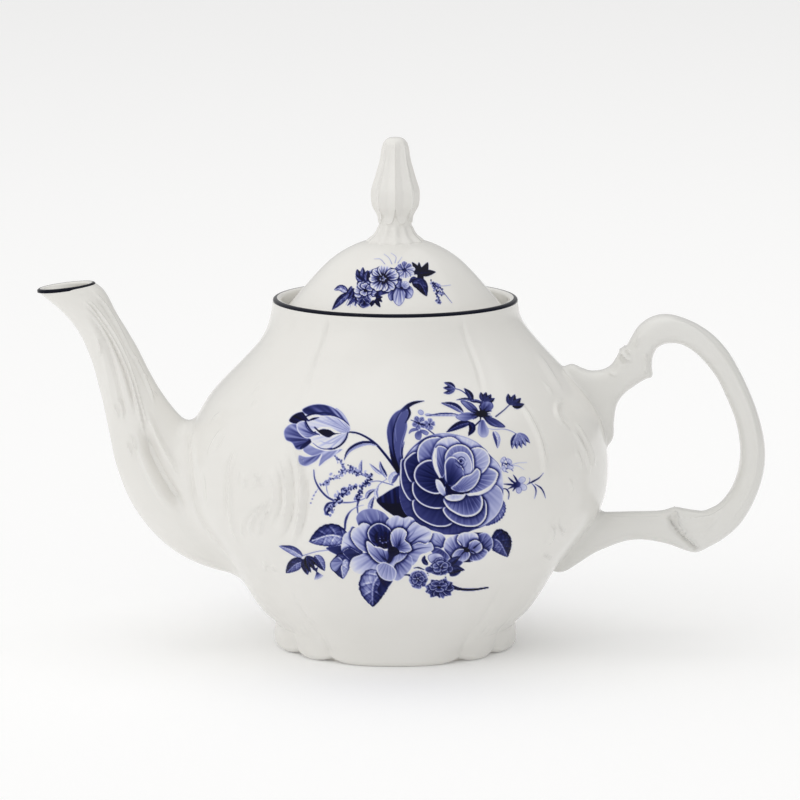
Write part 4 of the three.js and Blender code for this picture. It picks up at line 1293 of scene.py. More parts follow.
def leaf(cv, pts, width, tone, vein=0.3, nv=5, half=0.15, mid=0.35, saw=0.0, shape=0.75, edge=0.2, shade=0.0, tipdark=0.15, fork=0.9):
    """A leaf along a midrib: halves of different depth, side veins, outlined edge."""
    c = catmull(pts, 8)
    sl = cv.cell(c, width * 0.6 + 4)
    X, Y = cv.X[sl], cv.Y[sl]
    if not X.size:
        return
    dist, side, par = path_coords(X, Y, c)
    w = width / 2 * np.sin(np.pi * np.clip(par, 0, 1) ** shape) ** 0.8
    if saw:
        w = w * (1 + saw * (np.abs(((par * nv * 2) % 1.0) - 0.5) * 2 - 0.5))
    w = np.maximum(w, 1e-3)
    v = dist / w
    sd = w - dist
    if shade > 0:
        f = np.clip(1 + sd / 3.0, 0, 1) ** 1.5 * (sd < 0) * cv.M[sl] * ((par > 0.02) & (par < 0.98))
        cv.D[sl] = cv.D[sl] + (np.maximum(shade, cv.D[sl]) - cv.D[sl]) * f
    d = tone + half * side + tipdark * (par - 0.4)
    ph = (par * nv - v * fork * side * 0.0 - v * fork) % 1.0
    lit = np.exp(-((v - 0.42) / 0.26) ** 2) * np.sin(np.pi * np.clip(par * 1.15, 0, 1))
    d = d - 0.55 * vein * lit * (0.75 + 0.25 * streaks(par, nv * 0.8, cv.rng))
    d = d - 0.42 * vein * np.exp(-((ph - 0.5) / 0.10) ** 2) * smooth01(v / 0.25) * smooth01((0.9 - v) / 0.3)
    d = d + 0.30 * vein * np.exp(-((ph - 0.68) / 0.10) ** 2) * smooth01(v / 0.25)
    d = d + 0.07 * streaks(par + 0.3 * v, nv * 1.7, cv.rng)
    d = d - mid * np.exp(-(dist / (0.45 + 0.02 * width)) ** 2) * (par < 0.93)
    d = d + edge * smooth01((v - 0.8) / 0.2)
    cv.lay(sl, np.clip(sd / cv.aa + 0.5, 0, 1) * ((par > 0.001) & (par < 0.999)), d)


def ellipse(cx, cy, rx, ry, rot=0.0, n=12, jag=0.0, rng=None):
    a = np.arange(n) / n * 2 * np.pi
    k = 1 + (jag * (rng.rand(n) - 0.5) * 2 if rng is not None else 0)
    x, y = rx * np.cos(a) * k, ry * np.sin(a) * k
    c, s = math.cos(rot), math.sin(rot)
    return np.stack([cx + x * c - y * s, cy + x * s + y * c], -1)


def floret(cv, cx, cy, r, n=5, rot=0.0, dark=0.75, light=0.4, squash=(1.0, 1.0), rim=0.6, eye=0.25, gap=0.0, wide=0.55):
    order = list(range(n))
    for k in order:
        a = rot + k * 2 * math.pi / n
        a += 0.22 * (cv.rng.rand() - 0.5)
        g = 0.84 + 0.3 * cv.rng.rand()
        ux, uy = math.cos(a) * squash[0] * g, math.sin(a) * squash[1] * g
        px_, py_ = -math.sin(a) * squash[0], math.cos(a) * squash[1]
        pts = []
        for s, w in ((0.08 + gap, 0.05), (0.35, wide * 0.36), (0.68, wide * 0.56), (0.9, wide * 0.42), (1.0, 0.0),
                     (0.9, -wide * 0.42), (0.68, -wide * 0.56), (0.35, -wide * 0.36)):
            j = 1 + 0.12 * (cv.rng.rand() - 0.5)
            pts.append((cx + r * (s * ux * j + w * px_), cy + r * (s * uy * j + w * py_)))
        petal(cv, pts, (cx, cy), dark, light + 0.12 * (cv.rng.rand() - 0.5), rim=rim, tone=light * 0.6, vein=0.16, nv=14, shade=min(dark, 0.9) * 0.9, sw=1.8)
    if eye:
        blob(cv, ellipse(cx, cy, r * eye, r * eye * 0.85, rot, 8), min(1, dark + 0.25))


def bud(cv, x, y, ang, length, width, tone, tips=3, spread=0.5):
    """A closed flower: pointed sepals fanning from (x, y)."""
    for k in range(tips):
        f = (k / (tips - 1) - 0.5) * 2 if tips > 1 else 0
        a = ang + f * spread
        dx, dy = math.cos(a), math.sin(a)
        ox, oy = -math.sin(ang) * f * width * 0.22, math.cos(ang) * f * width * 0.22
        m = (x + dx * length * 0.5 + ox, y + dy * length * 0.5 + oy)
        e = (x + dx * length + ox * 0.6, y + dy * length + oy * 0.6)
        leaf(cv, [(x, y), m, e], width * 0.62, tone + 0.12 * (cv.rng.rand() - 0.5), vein=0.0, half=0.14, mid=0.18, shape=0.8, edge=0.12)


def spray(cv, pts, n, width, size, tones, stem=None):
    """Many tiny florets crowded along a stalk."""
    c = catmull(pts, 10)
    if stem:
        stroke(cv, pts, [stem[0], stem[0] * 0.6], [stem[1], stem[1]])
    seg = np.concatenate([[0], np.cumsum(np.hypot(*np.diff(c, axis=0).T))])
    for k in range(n // 2):         # pale flowers behind the dark ones
        s = (k + cv.rng.rand()) / (n // 2)
        x = np.interp(s * seg[-1], seg, c[:, 0])
        y = np.interp(s * seg[-1], seg, c[:, 1])
        o = cv.rng.randn(2) * width * (0.5 + 0.5 * math.sin(math.pi * s)) * 0.42
        r = size * (1.0 + 0.7 * cv.rng.rand())
        blob(cv, ellipse(x + o[0], y + o[1], r, r * 0.7, cv.rng.rand() * 3.1, 8), 0.16 + 0.22 * cv.rng.rand())
    for k in range(n):
        s = (k + cv.rng.rand()) / n
        x = np.interp(s * seg[-1], seg, c[:, 0])
        y = np.interp(s * seg[-1], seg, c[:, 1])
        o = cv.rng.randn(2) * width * (0.5 + 0.5 * math.sin(math.pi * s)) * 0.36
        r = size * (0.5 + 0.6 * cv.rng.rand())
        t = tones[0] + (tones[1] - tones[0]) * cv.rng.rand()
        blob(cv, ellipse(x + o[0], y + o[1], r, r * 0.55, cv.rng.rand() * 3.1, 8), t)


def paint_body(cv):
    S, L, B, P = stroke, leaf, blob, petal
    # ---- sprays, thin stems and small leaves behind everything
    S(cv, [(314, 470), (315, 479), (320, 489), (329, 498), (343, 502.5), (358, 501), (368, 497)], [1.2, 2.0, 2.2, 1.5, 1.0], [.5, .62, .6, .45, .35])
    S(cv, [(359, 500), (357.5, 506), (358, 513)], [2.4, 1.4], [.62, .5])
    S(cv, [(345, 529), (346, 520), (350, 512), (357, 507), (364, 505)], [2.2, 2.8, 1.2, .6], [.6, .62, .4, .3])
    S(cv, [(371, 482), (378, 481), (386, 483), (393, 485)], [1.0, 1.2], [.42, .45])
    S(cv, [(376, 498), (376.5, 490), (380, 484), (387, 479)], [1.4, .8], [.4, .35])
    S(cv, [(387, 479), (383, 475), (379, 470)], [.8, .6], [.35, .3])
    L(cv, [(361, 474.5), (360.5, 467), (362, 460)], 3.6, .40, vein=0, mid=.15, half=.12)
    L(cv, [(382, 475), (375, 469), (369.5, 463.5)], 3.4, .34, vein=0, mid=.12, half=.12)
    L(cv, [(387, 477), (382, 469), (380, 461)], 4.6, .52, vein=0, mid=.15, half=.18)
    L(cv, [(391, 484), (393.5, 477), (401, 471)], 8.5, .36, vein=.08, mid=.15, half=.16)
    L(cv, [(366, 499), (369, 493), (376, 489)], 4.6, .5, vein=0, mid=.2, half=.16)
    L(cv, [(370, 512), (371, 504), (374.5, 496)], 5.0, .42, vein=0, mid=.12, half=.14)
    L(cv, [(377.5, 499), (376, 492), (379, 486)], 4.0, .26, vein=0, mid=.1, half=.1)
    spray(cv, [(321, 485), (334, 478), (346, 472), (358, 472), (371, 477)], 62, 5.2, 1.25, (.38, .8), (.8, .4))
    spray(cv, [(335, 456), (341, 462), (345, 470)], 18, 3.2, 1.2, (.4, .7), (.7, .35))
    spray(cv, [(349, 466), (354, 472), (360, 475)], 18, 4.0, 1.3, (.5, .85))
    spray(cv, [(327, 514), (334, 505), (341, 496), (347, 490)], 62, 6.0, 1.5, (.55, .95), (1.0, .5))
    spray(cv, [(341, 490), (348, 489), (357, 486)], 26, 4.4, 1.4, (.5, .9))
    spray(cv, [(357, 500), (361, 491), (366, 483), (372, 475)], 52, 5.4, 1.45, (.6, .98), (1.0, .5))
    S(cv, [(333, 502), (328, 504), (325, 509), (326, 515)], [1.2, 3.0, 2.2, .8], [.6, .7, .6, .5])
    S(cv, [(327, 484), (327, 490), (329, 496)], [.9, 1.1, .5], [.35, .4, .3])
    S(cv, [(319, 488), (316, 492), (313, 497)], [.7, .5], [.4, .3])
    for x, y in ((314, 495.5), (312.5, 499), (311, 503), (316, 492)):
        B(cv, ellipse(x, y, 1.0, .8), .42)
    # ---- tulip
    S(cv, [(349, 432), (357, 433), (367, 437.5), (376, 444), (384, 453), (391, 462), (398, 472)], [1.7, 2.2, 2.6, 2.8], [.85, .8, .8, .85], lat=.12)
    L(cv, [(379, 446), (368, 443), (356, 446), (348, 452), (344, 461)], 5.2, .52, vein=0, mid=-.12, half=.24, shape=.9)
    P(cv, [(336, 408), (342, 412), (347, 419), (350, 427), (344, 421), (338, 414)], (350, 430), .35, .16, rim=.5, tone=.35)
    P(cv, [(302, 410), (308, 406), (317, 404), (327, 405), (336, 409), (343, 416), (350, 428), (343, 424), (331, 418), (318, 415), (307, 415)],
      (352, 431), .30, .66, rim=.7, tone=.28, vein=.22, nv=22, turn=(-1, 0, .18))
    P(cv, [(289, 421), (292, 416), (298, 412.5), (303, 412), (306, 416), (309, 421), (303, 423), (295, 424)], (310, 424), .78, .95, rim=.5, tone=.45, vein=.15, nv=12)
    P(cv, [(299, 455), (306, 456.5), (314, 455.5), (322, 453), (319, 459), (314, 463), (306, 466.5), (300, 464.5), (298, 460)],
      (324, 450), .72, .32, rim=.8, tone=.12, vein=.12, nv=14)
    P(cv, [(303, 450), (309, 445), (316, 448), (328, 451), (343, 449), (334, 456), (326, 461), (319, 466.5), (320, 460), (322, 454), (312, 456)],
      (347, 440), .12, .36, rim=.6, tone=.2, vein=.16, nv=18)
    P(cv, [(284, 432), (286, 427.5), (291, 424), (297, 424.5), (303, 429), (310, 438), (311, 443), (306, 447), (300, 450), (296, 449), (292, 443), (286, 440)],
      (312, 440), .62, .46, rim=.8, tone=.3, vein=.16, nv=16, turn=(.2, 1, .22))
    B(cv, [(300, 448), (305, 443), (313, 438), (318, 437), (312, 442), (306, 447), (301, 449.5)], .9, .75)
    P(cv, [(297, 424), (302, 421), (308, 422), (313, 429), (320, 434.5), (314, 437), (307, 438.5), (301, 435), (297.5, 430)],
      (320, 437), .78, .2, rim=1.0, tone=.08, vein=.14, nv=16)
    P(cv, [(306, 422), (313, 418), (325, 415.5), (336, 417), (345, 422), (351, 429), (346, 434), (338, 432), (330, 428), (320, 428), (313, 432), (308, 428)],
      (352, 433), .42, .10, rim=.8, tone=.05, vein=.13, nv=30, shade=.8, sw=2.2)
    P(cv, [(311, 438), (318, 435), (330, 437), (340, 434), (348, 433), (347, 440), (341, 446), (330, 449.5), (319, 448), (313, 444)],
      (350, 430), .36, .06, rim=.7, tone=.05, vein=.12, nv=26)
    B(cv, [(314, 427), (318, 430), (323, 429), (330, 430), (335, 433), (342, 433), (334, 435), (329, 437.5), (324, 436), (319, 432.5)], 1.0, .92)
    S(cv, [(315, 427), (319, 431), (324, 434)], [.8, 1.4, 1.6], [.8, 1, 1])
    S(cv, [(324, 449), (333, 449), (341, 445), (346, 439), (348, 433)], [.8, 1.8, 2.0, 1.6], [.6, .85, .9, .7])
    S(cv, [(305, 419), (308, 426), (313, 432), (320, 435)], [1.2, 1.8, 1.4, .8], [.85, .8, .75, .6])
    S(cv, [(308, 421), (313, 419), (319, 417.5)], [1.2, 2.4, .8], [.8, .95, .7])
    S(cv, [(305, 417), (313, 414), (322, 413), (333, 414), (340, 418)], [1.6, 1.8, 1.6, .8], [.85, .8, .75, .6])
    S(cv, [(313, 443), (319, 447.5), (325, 449), (332, 448)], [.7, 1.0, .8], [.4, .6, .6])
    for k in range(4):
        S(cv, [(320 + 2 * k, 441 + k), (330 + k, 443.5 - .2 * k), (340 + k * .8, 438 - k * .6)], [.5, .7, .4], [.2, .28, .2])
        S(cv, [(322 + 2 * k, 421 + k * 1.4), (332 + k, 420 + k * 1.6), (342 + k * .6, 424 + k * 1.3)], [.5, .7, .4], [.18, .3, .22])
    # ---- small pale cluster
    S(cv, [(425, 427), (430, 431), (434, 434)], [1.0, 1.2], [.7, .8])
    P(cv, ellipse(421, 412.5, 3.2, 2.6, .6), (424, 417), .35, .18, rim=.7, tone=.4)
    P(cv, ellipse(429, 415, 4.2, 1.5, .1), (424, 417), .3, .2, rim=.5, tone=.35)
    floret(cv, 419, 423, 6.8, 5, .4, .62, .40, rim=.6, eye=.16, wide=.75)
    floret(cv, 429.5, 424.5, 6.6, 5, 1.1, .62, .36, rim=.6, eye=.16, wide=.72)
    P(cv, [(412, 432), (409, 434), (410, 430), (414, 428), (419, 430)], (420, 430), .6, .35, rim=.6, tone=.6)
    P(cv, [(418, 431), (415, 434), (416, 439), (420, 440), (422, 436), (421, 431)], (419, 429), .65, .38, rim=.7, tone=.55)
    P(cv, [(420, 430), (425, 430), (429, 433), (427, 435.5), (422, 433)], (419, 429), .65, .32, rim=.6, tone=.6)
    S(cv, [(411, 420), (416, 422), (420, 424), (425, 425)], [.8, 1.2, 1.2], [.7, .95, .9])
    # ---- strap leaf
    P(cv, [(399.5, 472), (394, 463), (390.5, 452), (387.5, 440), (386.8, 430), (389.5, 420), (395, 412.5), (402, 409), (408, 408.5), (410.8, 413), (407.5, 420),
           (407.5, 428), (404, 441), (402.5, 450), (403.5, 460), (403, 466)], (398, 476), .78, .50, rim=.5, tone=.3, power=1.3, vein=.08, nv=30)
    B(cv, [(399, 469), (395, 455), (393.6, 441), (394.3, 429), (398.5, 417), (404, 409.5), (409, 411), (407.5, 419), (406.5, 428), (402.5, 441), (401, 452), (402, 463)],
      .54, .50, (0, -1), rim=1.2, tone=.36)
    S(cv, [(399, 470), (394.6, 455), (393.0, 441), (393.8, 429), (397.8, 417), (403, 409)], [2.4, 2.0, 1.6, 1.4, .8], [.98, .9, .85, .8, .6])
    S(cv, [(389.5, 446), (392.5, 458), (398, 471)], [1.4, 3.4, 4.2], [.7, .95, 1.0])
    S(cv, [(404.5, 442), (402.3, 452), (403, 461)], [.8, 1.6, 1.4], [.6, .8, .8])
    S(cv, [(402, 410.5), (408, 406), (414, 403), (424, 401)], [3.2, 4.4, 3.0, .6], [.6, .85, .95, .95])
    S(cv, [(408.5, 408), (410, 413), (408, 419), (405.5, 423)], [2.0, 2.6, 2.0, .8], [.9, .95, .85, .7])
    S(cv, [(396, 423), (395.6, 432), (396.5, 441)], [.6, 1.0, .5], [.42, .4, .42])
    # ---- dark star flower and its buds
    S(cv, [(453, 388.5), (460, 390), (466, 394), (470, 399)], [1.0, 1.2], [.6, .7])
    S(cv, [(509.5, 405), (503, 411), (496, 416.5)], [1.1, 1.5], [.75, .8])
    S(cv, [(480, 421), (474, 427), (469, 433)], [1.8, 1.4], [.95, .85])
    S(cv, [(483, 400), (480, 406)], [1.2, 1.6], [.8, .9])
    S(cv, [(486, 428), (494, 429.5), (503, 429), (511, 431), (518, 435)], [.7, .9, .9], [.3, .38, .38])
    bud(cv, 455.5, 388.5, math.pi + .05, 12.5, 8.0, .72, 3, .34)
    bud(cv, 485, 401.5, -1.15, 9.5, 9.0, .86, 4, .75)
    bud(cv, 512, 405.5, -1.0, 11.5, 10.5, .84, 4, .8)
    bud(cv, 517, 433.5, 1.25, 15.5, 9.5, .52, 5, .55)
    L(cv, [(493.5, 431), (497, 438), (497.8, 448.5)], 6.6, .42, vein=.08, mid=.2, half=.16)
    L(cv, [(463.5, 412.5), (454, 406), (441, 403)], 6.6, .66, vein=.1, mid=.25, half=.16)
    L(cv, [(459, 415), (444, 414.5), (426, 416)], 3.9, .46, vein=0, mid=.15, half=.14)
    L(cv, [(471, 422.5), (460, 425), (446, 432.5)], 7.6, .84, vein=.12, mid=.28, half=.08)
    L(cv, [(469.5, 422), (472.5, 428), (468.5, 436)], 6.8, .9, vein=0, mid=.2, half=.06)
    L(cv, [(472.5, 402), (470, 395), (464, 388)], 6.0, .8, vein=0, mid=.2, half=.12)
    L(cv, [(475, 402), (466, 399), (456, 400)], 2.6, .66, vein=0, mid=0)
    L(cv, [(470, 401), (478, 401.5), (485, 404.5)], 3.4, .7, vein=0, mid=0)
    P(cv, [(460.5, 401), (466, 401), (473, 404), (478, 410), (478, 414), (472, 412.5), (465, 407)], (480, 415), .85, .36, rim=.8, tone=.72, vein=.1, nv=20)
    P(cv, [(481, 404), (486.5, 401), (492, 402.5), (493.5, 407), (489, 412), (483, 413)], (482, 415), .95, .34, rim=.8, tone=.66, vein=.1, nv=10)
    P(cv, [(455.5, 417), (461, 413.5), (471, 412.5), (478, 416), (470, 420), (462, 421)], (480, 416), .92, .26, rim=.7, tone=.5, vein=.08, nv=20)
    P(cv, [(484, 415), (491, 417), (499, 421), (505.5, 427), (498, 427.5), (490, 425), (485, 420)], (481, 415), .95, .42, rim=.9, tone=.8, vein=.1, nv=20)
    P(cv, [(480.5, 420), (478, 427), (478, 433), (482, 437.5), (487, 436.5), (489, 431), (486, 424), (484, 420)], (482, 415), .82, .20, rim=.7, tone=.32, vein=.1, nv=12)
    cx, cy = 481.5, 414
    spk = []
    for k in range(22):
        a = k / 22 * 2 * math.pi
        r = (9.2 if k % 2 == 0 else 5.0) * (1 + .25 * (cv.rng.rand() - .5))
        spk.append((cx + r * math.cos(a) * 1.05, cy + r * .72 * math.sin(a)))
    B(cv, spk, 1.0)
    for k in range(9):
        a = 0.3 + k * .7
        S(cv, [(cx + 4 * math.cos(a), cy + 3 * math.sin(a)), (cx + 11 * math.cos(a), cy + 8 * math.sin(a))], [1.4, .6], [1, .8])
    # ---- sprigs on the right
    S(cv, [(511, 465), (518, 463), (527, 462.5)], [.8, .5], [.35, .25])
    S(cv, [(511, 465.5), (518, 466), (524, 469.5)], [.7, .4], [.35, .25])
    for q in (((505, 457.5), (502.5, 463), (504, 470), (508, 472.5)), ((505, 458), (509, 462), (510, 467), (513, 471)),
              ((503, 463), (507, 464), (510, 462)), ((504, 470), (508, 468), (511, 466))):
        S(cv, q, [1.0, 1.6, .8], [.5, .65, .5])
    for ex, ey, ea in ((503.2, 459.8, -.9), (509.2, 461.2, .7), (510.2, 467.2, .2), (504.0, 468.4, 1.2)):
        P(cv, ellipse(ex, ey, 3.6, 2.2, ea), (506.6, 464), .42, .10, rim=.7, tone=.42, vein=.1, nv=10, shade=.4, sw=1.2)
    for k in range(5):
        S(cv, [(506.6, 464.2), (506.6 + 2.6 * math.cos(1.3 * k), 464.2 + 2.3 * math.sin(1.3 * k))], [.9, .4], [.8, .55])
    P(cv, ellipse(522, 480, 4.0, 3.2, -.5), (517, 484), .35, .10, rim=.7, tone=.4)
    P(cv, ellipse(523, 487, 4.4, 3.4, .5), (517, 484), .35, .10, rim=.7, tone=.4)
    P(cv, ellipse(519, 490, 3.0, 3.6, .2), (517, 484), .45, .14, rim=.7, tone=.45)
    for q in (((504, 484), (510, 484.5), (516, 485)), ((508.5, 477.5), (512, 481), (516, 484)), ((513.5, 475), (516, 479), (518, 483)),
              ((508, 489), (512, 487), (516, 485.5)), ((513, 491), (515, 488), (517, 486))):
        S(cv, q, [.8, 2.2, 2.0], [.8, .75, .7])
    B(cv, ellipse(517.5, 484.5, 3.4, 3.0), .82, .5, (1, 0))
    S(cv, [(527, 484.5), (533, 481.5), (539, 478), (543.5, 473)], [.7, 2.0, 1.4, .5], [.6, .85, .8, .6])
    S(cv, [(529, 483), (530, 480), (529.5, 478)], [.9, .5], [.6, .5])
    S(cv, [(532, 483.5), (535.5, 488), (536, 493), (534.5, 498.5)], [.6, 1.8, 1.4, .5], [.45, .6, .55, .4])
    S(cv, [(535, 484), (541, 488), (544, 493), (545.5, 498)], [.6, 1.6, 1.3, .5], [.55, .8, .75, .6])
    S(cv, [(501, 489), (506, 489), (509, 493), (508.5, 499)], [1.0, 1.6, 1.0], [.7, .75, .6])
    # ---- leaves round the two big flowers
    B(cv, [(376.5, 500), (384, 494), (392, 489), (400, 486), (404, 496), (406, 510), (409, 518), (399, 518), (390, 513), (383, 508)], .74, .98, (.1, 1), vein=.14)
    B(cv, [(380, 503), (390, 503.5), (403, 504), (406, 512), (409, 518), (399, 518), (390, 513)], .97, 1.0)
    L(cv, [(350, 540), (332, 535), (309, 541.5)], 23, .56, vein=.42, nv=4.5, half=.12, mid=.4, saw=.05, edge=.3, shape=.9, fork=.8)
    P(cv, [(326, 548), (334, 546), (344, 546), (347, 552), (342, 556), (335, 554)], (348, 545), .9, .6, rim=.7, tone=.55, vein=.1)
    L(cv, [(351, 556), (342, 563), (343, 579)], 19, .50, vein=.3, nv=3.5, half=.18, mid=.3, saw=.06, edge=.3, shape=.85)
    P(cv, [(330, 564), (333, 559), (339, 556), (343, 560), (341, 567), (336, 572), (332, 570)], (343, 562), .5, .35, rim=.8, tone=.85, vein=.2)
    L(cv, [(502, 499), (498, 512), (486, 526)], 14, .62, vein=.45, nv=6, half=.10, mid=.35, saw=.14, edge=.2, shape=.8, fork=.9)
    L(cv, [(491, 538), (499, 541), (508, 557)], 24, .72, vein=.34, nv=4.5, half=-.14, mid=.3, saw=.05, edge=.2, shape=.62, fork=.8)
    L(cv, [(303, 557), (292, 550), (279, 546)], 8.5, .48, vein=.2, nv=4, half=.12, mid=.25, edge=.3)
    L(cv, [(305, 561), (296, 564), (286, 573)], 13, .68, vein=.3, nv=4, half=.14, mid=.3, edge=.25, shape=.85)
    L(cv, [(305, 558), (306, 567), (308, 575)], 9, .76, vein=.15, nv=3, half=.1, mid=.2, edge=.2)
    L(cv, [(315, 555), (320, 562), (325, 571)], 10, .62, vein=.25, nv=4, half=.14, mid=.25, edge=.3)
    S(cv, [(302, 556), (308, 554), (317, 551.5), (328, 550)], [.8, 1.0, 1.2], [.55, .4, .3])
    bud(cv, 306, 556, .98, 17, 9, .95, 3, .22)
    for k in range(8):
        a = .55 + k * .12
        S(cv, [(313 + k * .7, 569 - k * .2), (315 + 11 * math.cos(a + .2), 568 + 11.5 * math.sin(a + .2))], [.9, .4], [.8, .55])
    # ---- camellia
    cv.vk, cv.dk = 0.55, 0.12
    o = (462, 468)
    P(cv, [(403, 462), (408, 452), (418, 442), (428, 436), (444, 433), (462, 436), (478, 443), (490, 455), (500, 466), (503, 482), (503, 500), (499, 514),
           (488, 524), (474, 530), (456, 534), (438, 532), (424, 527), (412, 519), (403, 508), (400, 490), (400, 474)], o, .9, .5, rim=.6, tone=.3, vein=.06, nv=40)
    cv.vk, cv.dk = 0.5, 0.0
    P(cv, [(405, 461), (411, 451), (420, 444), (424, 450), (416, 462)], o, .6, .20, rim=.8, tone=.1, vein=.08, nv=20)
    P(cv, [(424, 442), (431, 436), (444, 433.5), (458, 435), (470, 439), (480, 446), (470, 455), (440, 452)], o, .46, .14, rim=.9, tone=.26, vein=.09, nv=30)
    P(cv, [(456, 436), (468, 438), (480, 445), (488, 453), (480, 462), (464, 452)], o, .40, .12, rim=.9, tone=.24, vein=.09, nv=30, shade=.4, sw=2.5)
    P(cv, [(478, 450), (489, 456), (498, 464), (503, 477), (502, 492), (492, 497), (480, 480)], o, .44, .14, rim=.8, tone=.10, vein=.10, nv=30, shade=.45, sw=2.5)
    P(cv, [(486, 484), (499, 487), (503.5, 498), (499, 512), (489, 522), (478, 527), (474, 508)], o, .62, .20, rim=.9, tone=.08, vein=.12, nv=34, shade=.6)
    cv.vk, cv.dk = 0.6, 0.12
    P(cv, [(400, 487), (405, 496), (413, 500), (418, 512), (430, 521), (428, 529), (416, 522), (405, 513), (400, 500)], (440, 490), .95, .58, rim=.5, tone=.4, vein=.1, nv=30)
    P(cv, [(432, 520), (446, 522), (462, 526), (476, 526), (471, 531), (456, 534.5), (440, 533)], (455, 500), 1.0, .52, rim=.5, tone=.4, vein=.1, nv=30)
    P(cv, [(402, 459), (400.5, 470), (401, 483), (404.5, 493), (411, 501), (420, 500), (426, 480), (414, 462)], (436, 478), .92, .66, rim=1.3, tone=.02, vein=.12, nv=24, shade=.8)
    P(cv, [(404.5, 462), (409, 456), (416, 452), (424, 455), (428, 470), (420, 484), (411, 482), (406, 473)], (436, 474), .95, .74, rim=1.3, tone=.02, vein=.12, nv=24, shade=.85)
    P(cv, [(419.5, 463), (417.5, 455), (419.5, 446), (425.5, 440), (434, 437.5), (441, 438), (444, 448), (440, 462), (430, 466)], (446, 474), .88, .30, rim=1.2, tone=.02, vein=.16, nv=26, shade=.85)
    P(cv, [(433, 466), (433, 452), (437, 443), (444, 438), (453, 437.5), (462, 445), (464, 458), (450, 470)], (456, 474), .58, .10, rim=1.0, tone=.03, vein=.14, nv=26, shade=.7)
    P(cv, [(413.5, 500), (413, 508), (417, 516), (425, 522), (437, 526.5), (449, 525.5), (455, 520), (456, 508), (444, 500), (428, 500)], (452, 484), 1.02, .62, rim=1.3, tone=.02, vein=.08, nv=26, shade=.9)
    P(cv, [(413.5, 482), (412.5, 491), (416, 499), (423, 505), (434, 508.5), (446, 507.5), (453, 504), (452, 492), (438, 486), (424, 482)], (450, 480), 1.02, .72, rim=1.4, tone=.02, vein=.08, nv=26, shade=.95)
    P(cv, [(443, 509), (447, 517), (456, 523.5), (467, 526.5), (478, 525.5), (485, 519), (487, 509), (484, 499), (470, 500), (452, 504)], (464, 486), .98, .42, rim=1.4, tone=.02, vein=.12, nv=34, shade=.9)
    P(cv, [(443.5, 499), (447, 507), (454, 512.5), (464, 516.5), (474, 515.5), (481, 510), (483, 502), (480, 494), (466, 492), (452, 494)], (462, 482), .98, .36, rim=1.7, tone=.02, vein=.16, nv=40, shade=.9)
    P(cv, [(466, 495), (478, 494.5), (489, 489), (496, 481), (498, 473), (493, 469), (487, 468), (476, 476), (466, 486)], (462, 476), .80, .22, rim=1.7, tone=.03, vein=.16, nv=34, shade=.85)
    P(cv, [(468, 453), (474, 448), (482, 448), (488, 453), (490, 461), (487, 468), (480, 474), (471, 470)], (462, 472), .44, .16, rim=1.2, tone=.02, vein=.14, nv=34, shade=.7)
    P(cv, [(414, 475), (416, 468), (421, 463), (428, 460), (436, 461), (443, 470), (446, 481), (444, 491), (437, 494), (428, 492), (420, 487), (415.5, 481)],
      (448, 482), .96, .70, rim=1.5, tone=.02, vein=.16, nv=30, shade=.95)
    P(cv, [(437, 447), (441, 446), (447, 449), (450, 456), (448, 468), (442, 478), (437, 468), (436, 456)], (447, 480), .86, .34, rim=.9, tone=.04, vein=.18, nv=40, shade=.8)
    S(cv, [(435.5, 449), (434, 458), (436, 468), (440, 477)], [2.2, 4.2, 4.4, 2.0], [.04, .03, .05, .1], lat=-.05)
    S(cv, [(434.2, 449), (432.2, 458), (434.2, 469), (439, 478)], [.5, .9, .9], [.5, .6, .8])
    # heart of the flower
    B(cv, [(446, 484), (452, 480), (463, 483), (470, 489), (468, 495), (458, 496), (449, 494)], 1.0, 1.0)
    P(cv, [(445, 458), (450, 448), (458, 444.5), (466, 446), (472, 453), (474, 463), (473, 472), (462, 478), (450, 474)], (461, 468), .66, .36, rim=1.3, tone=.02, vein=.12, nv=30, shade=.85)
    P(cv, [(452, 456), (459, 452), (466, 453), (471, 460), (472, 470), (466, 477), (458, 474)], (462, 466), .16, .24, rim=.9, tone=.02, vein=.05, nv=20)
    P(cv, [(445, 472), (445, 463), (450, 457), (456, 458), (461, 464), (464, 472), (464, 477), (457, 484), (450, 486), (446, 480)],
      (448, 484), .86, .44, rim=1.3, tone=.04, vein=.05, nv=20, power=1.2, turn=(-1, .2, .25), shade=.5)
    P(cv, [(451, 488), (456, 484), (463, 477), (471, 474), (477, 468.5), (480, 471), (479.5, 478), (475, 486), (468, 491), (459, 492)],
      (456, 492), .62, .24, rim=1.1, tone=.03, vein=.16, nv=40, shade=.9, sw=3)
    for r, t0, t1, w in ((6.4, .2, 3.6, 1.0), (4.6, 2.6, 6.0, 1.2), (3.2, -.3, 3.0, 1.2), (1.9, 2.5, 6.2, 1.4)):
        a = np.linspace(t0, t1, 6)
        S(cv, np.stack([461.5 + r * np.cos(a) * .92, 461.5 + r * np.sin(a)], -1), [w * .5, w, w * .6], [.45, .75, .6])
    B(cv, ellipse(461, 461.5, 1.2, 1.2), .95)
    S(cv, [(455, 459), (459, 463), (463, 467), (465, 472)], [.8, 1.4, 1.4, .6], [.5, .85, .8, .5])
    S(cv, [(455.5, 463), (460, 467), (463.5, 472), (464.5, 476)], [.7, 1.0, 1.0], [.3, .55, .5])
    P(cv, [(436, 479.5), (440, 480.5), (444.5, 488), (445.5, 496), (441, 494), (437, 488)], (446, 494), .3, .05, rim=.6, tone=.02, vein=.06)
    S(cv, [(436, 478), (441, 479.5), (445.5, 486)], [1.0, 2.4, 1.6], [.9, 1, 1])
    P(cv, [(445, 497), (453, 494.5), (463, 494.5), (466, 493.5), (462.5, 499), (455, 501), (448, 500)], (455, 492), .35, .05, rim=.6, tone=.02, vein=.06, shade=.95)
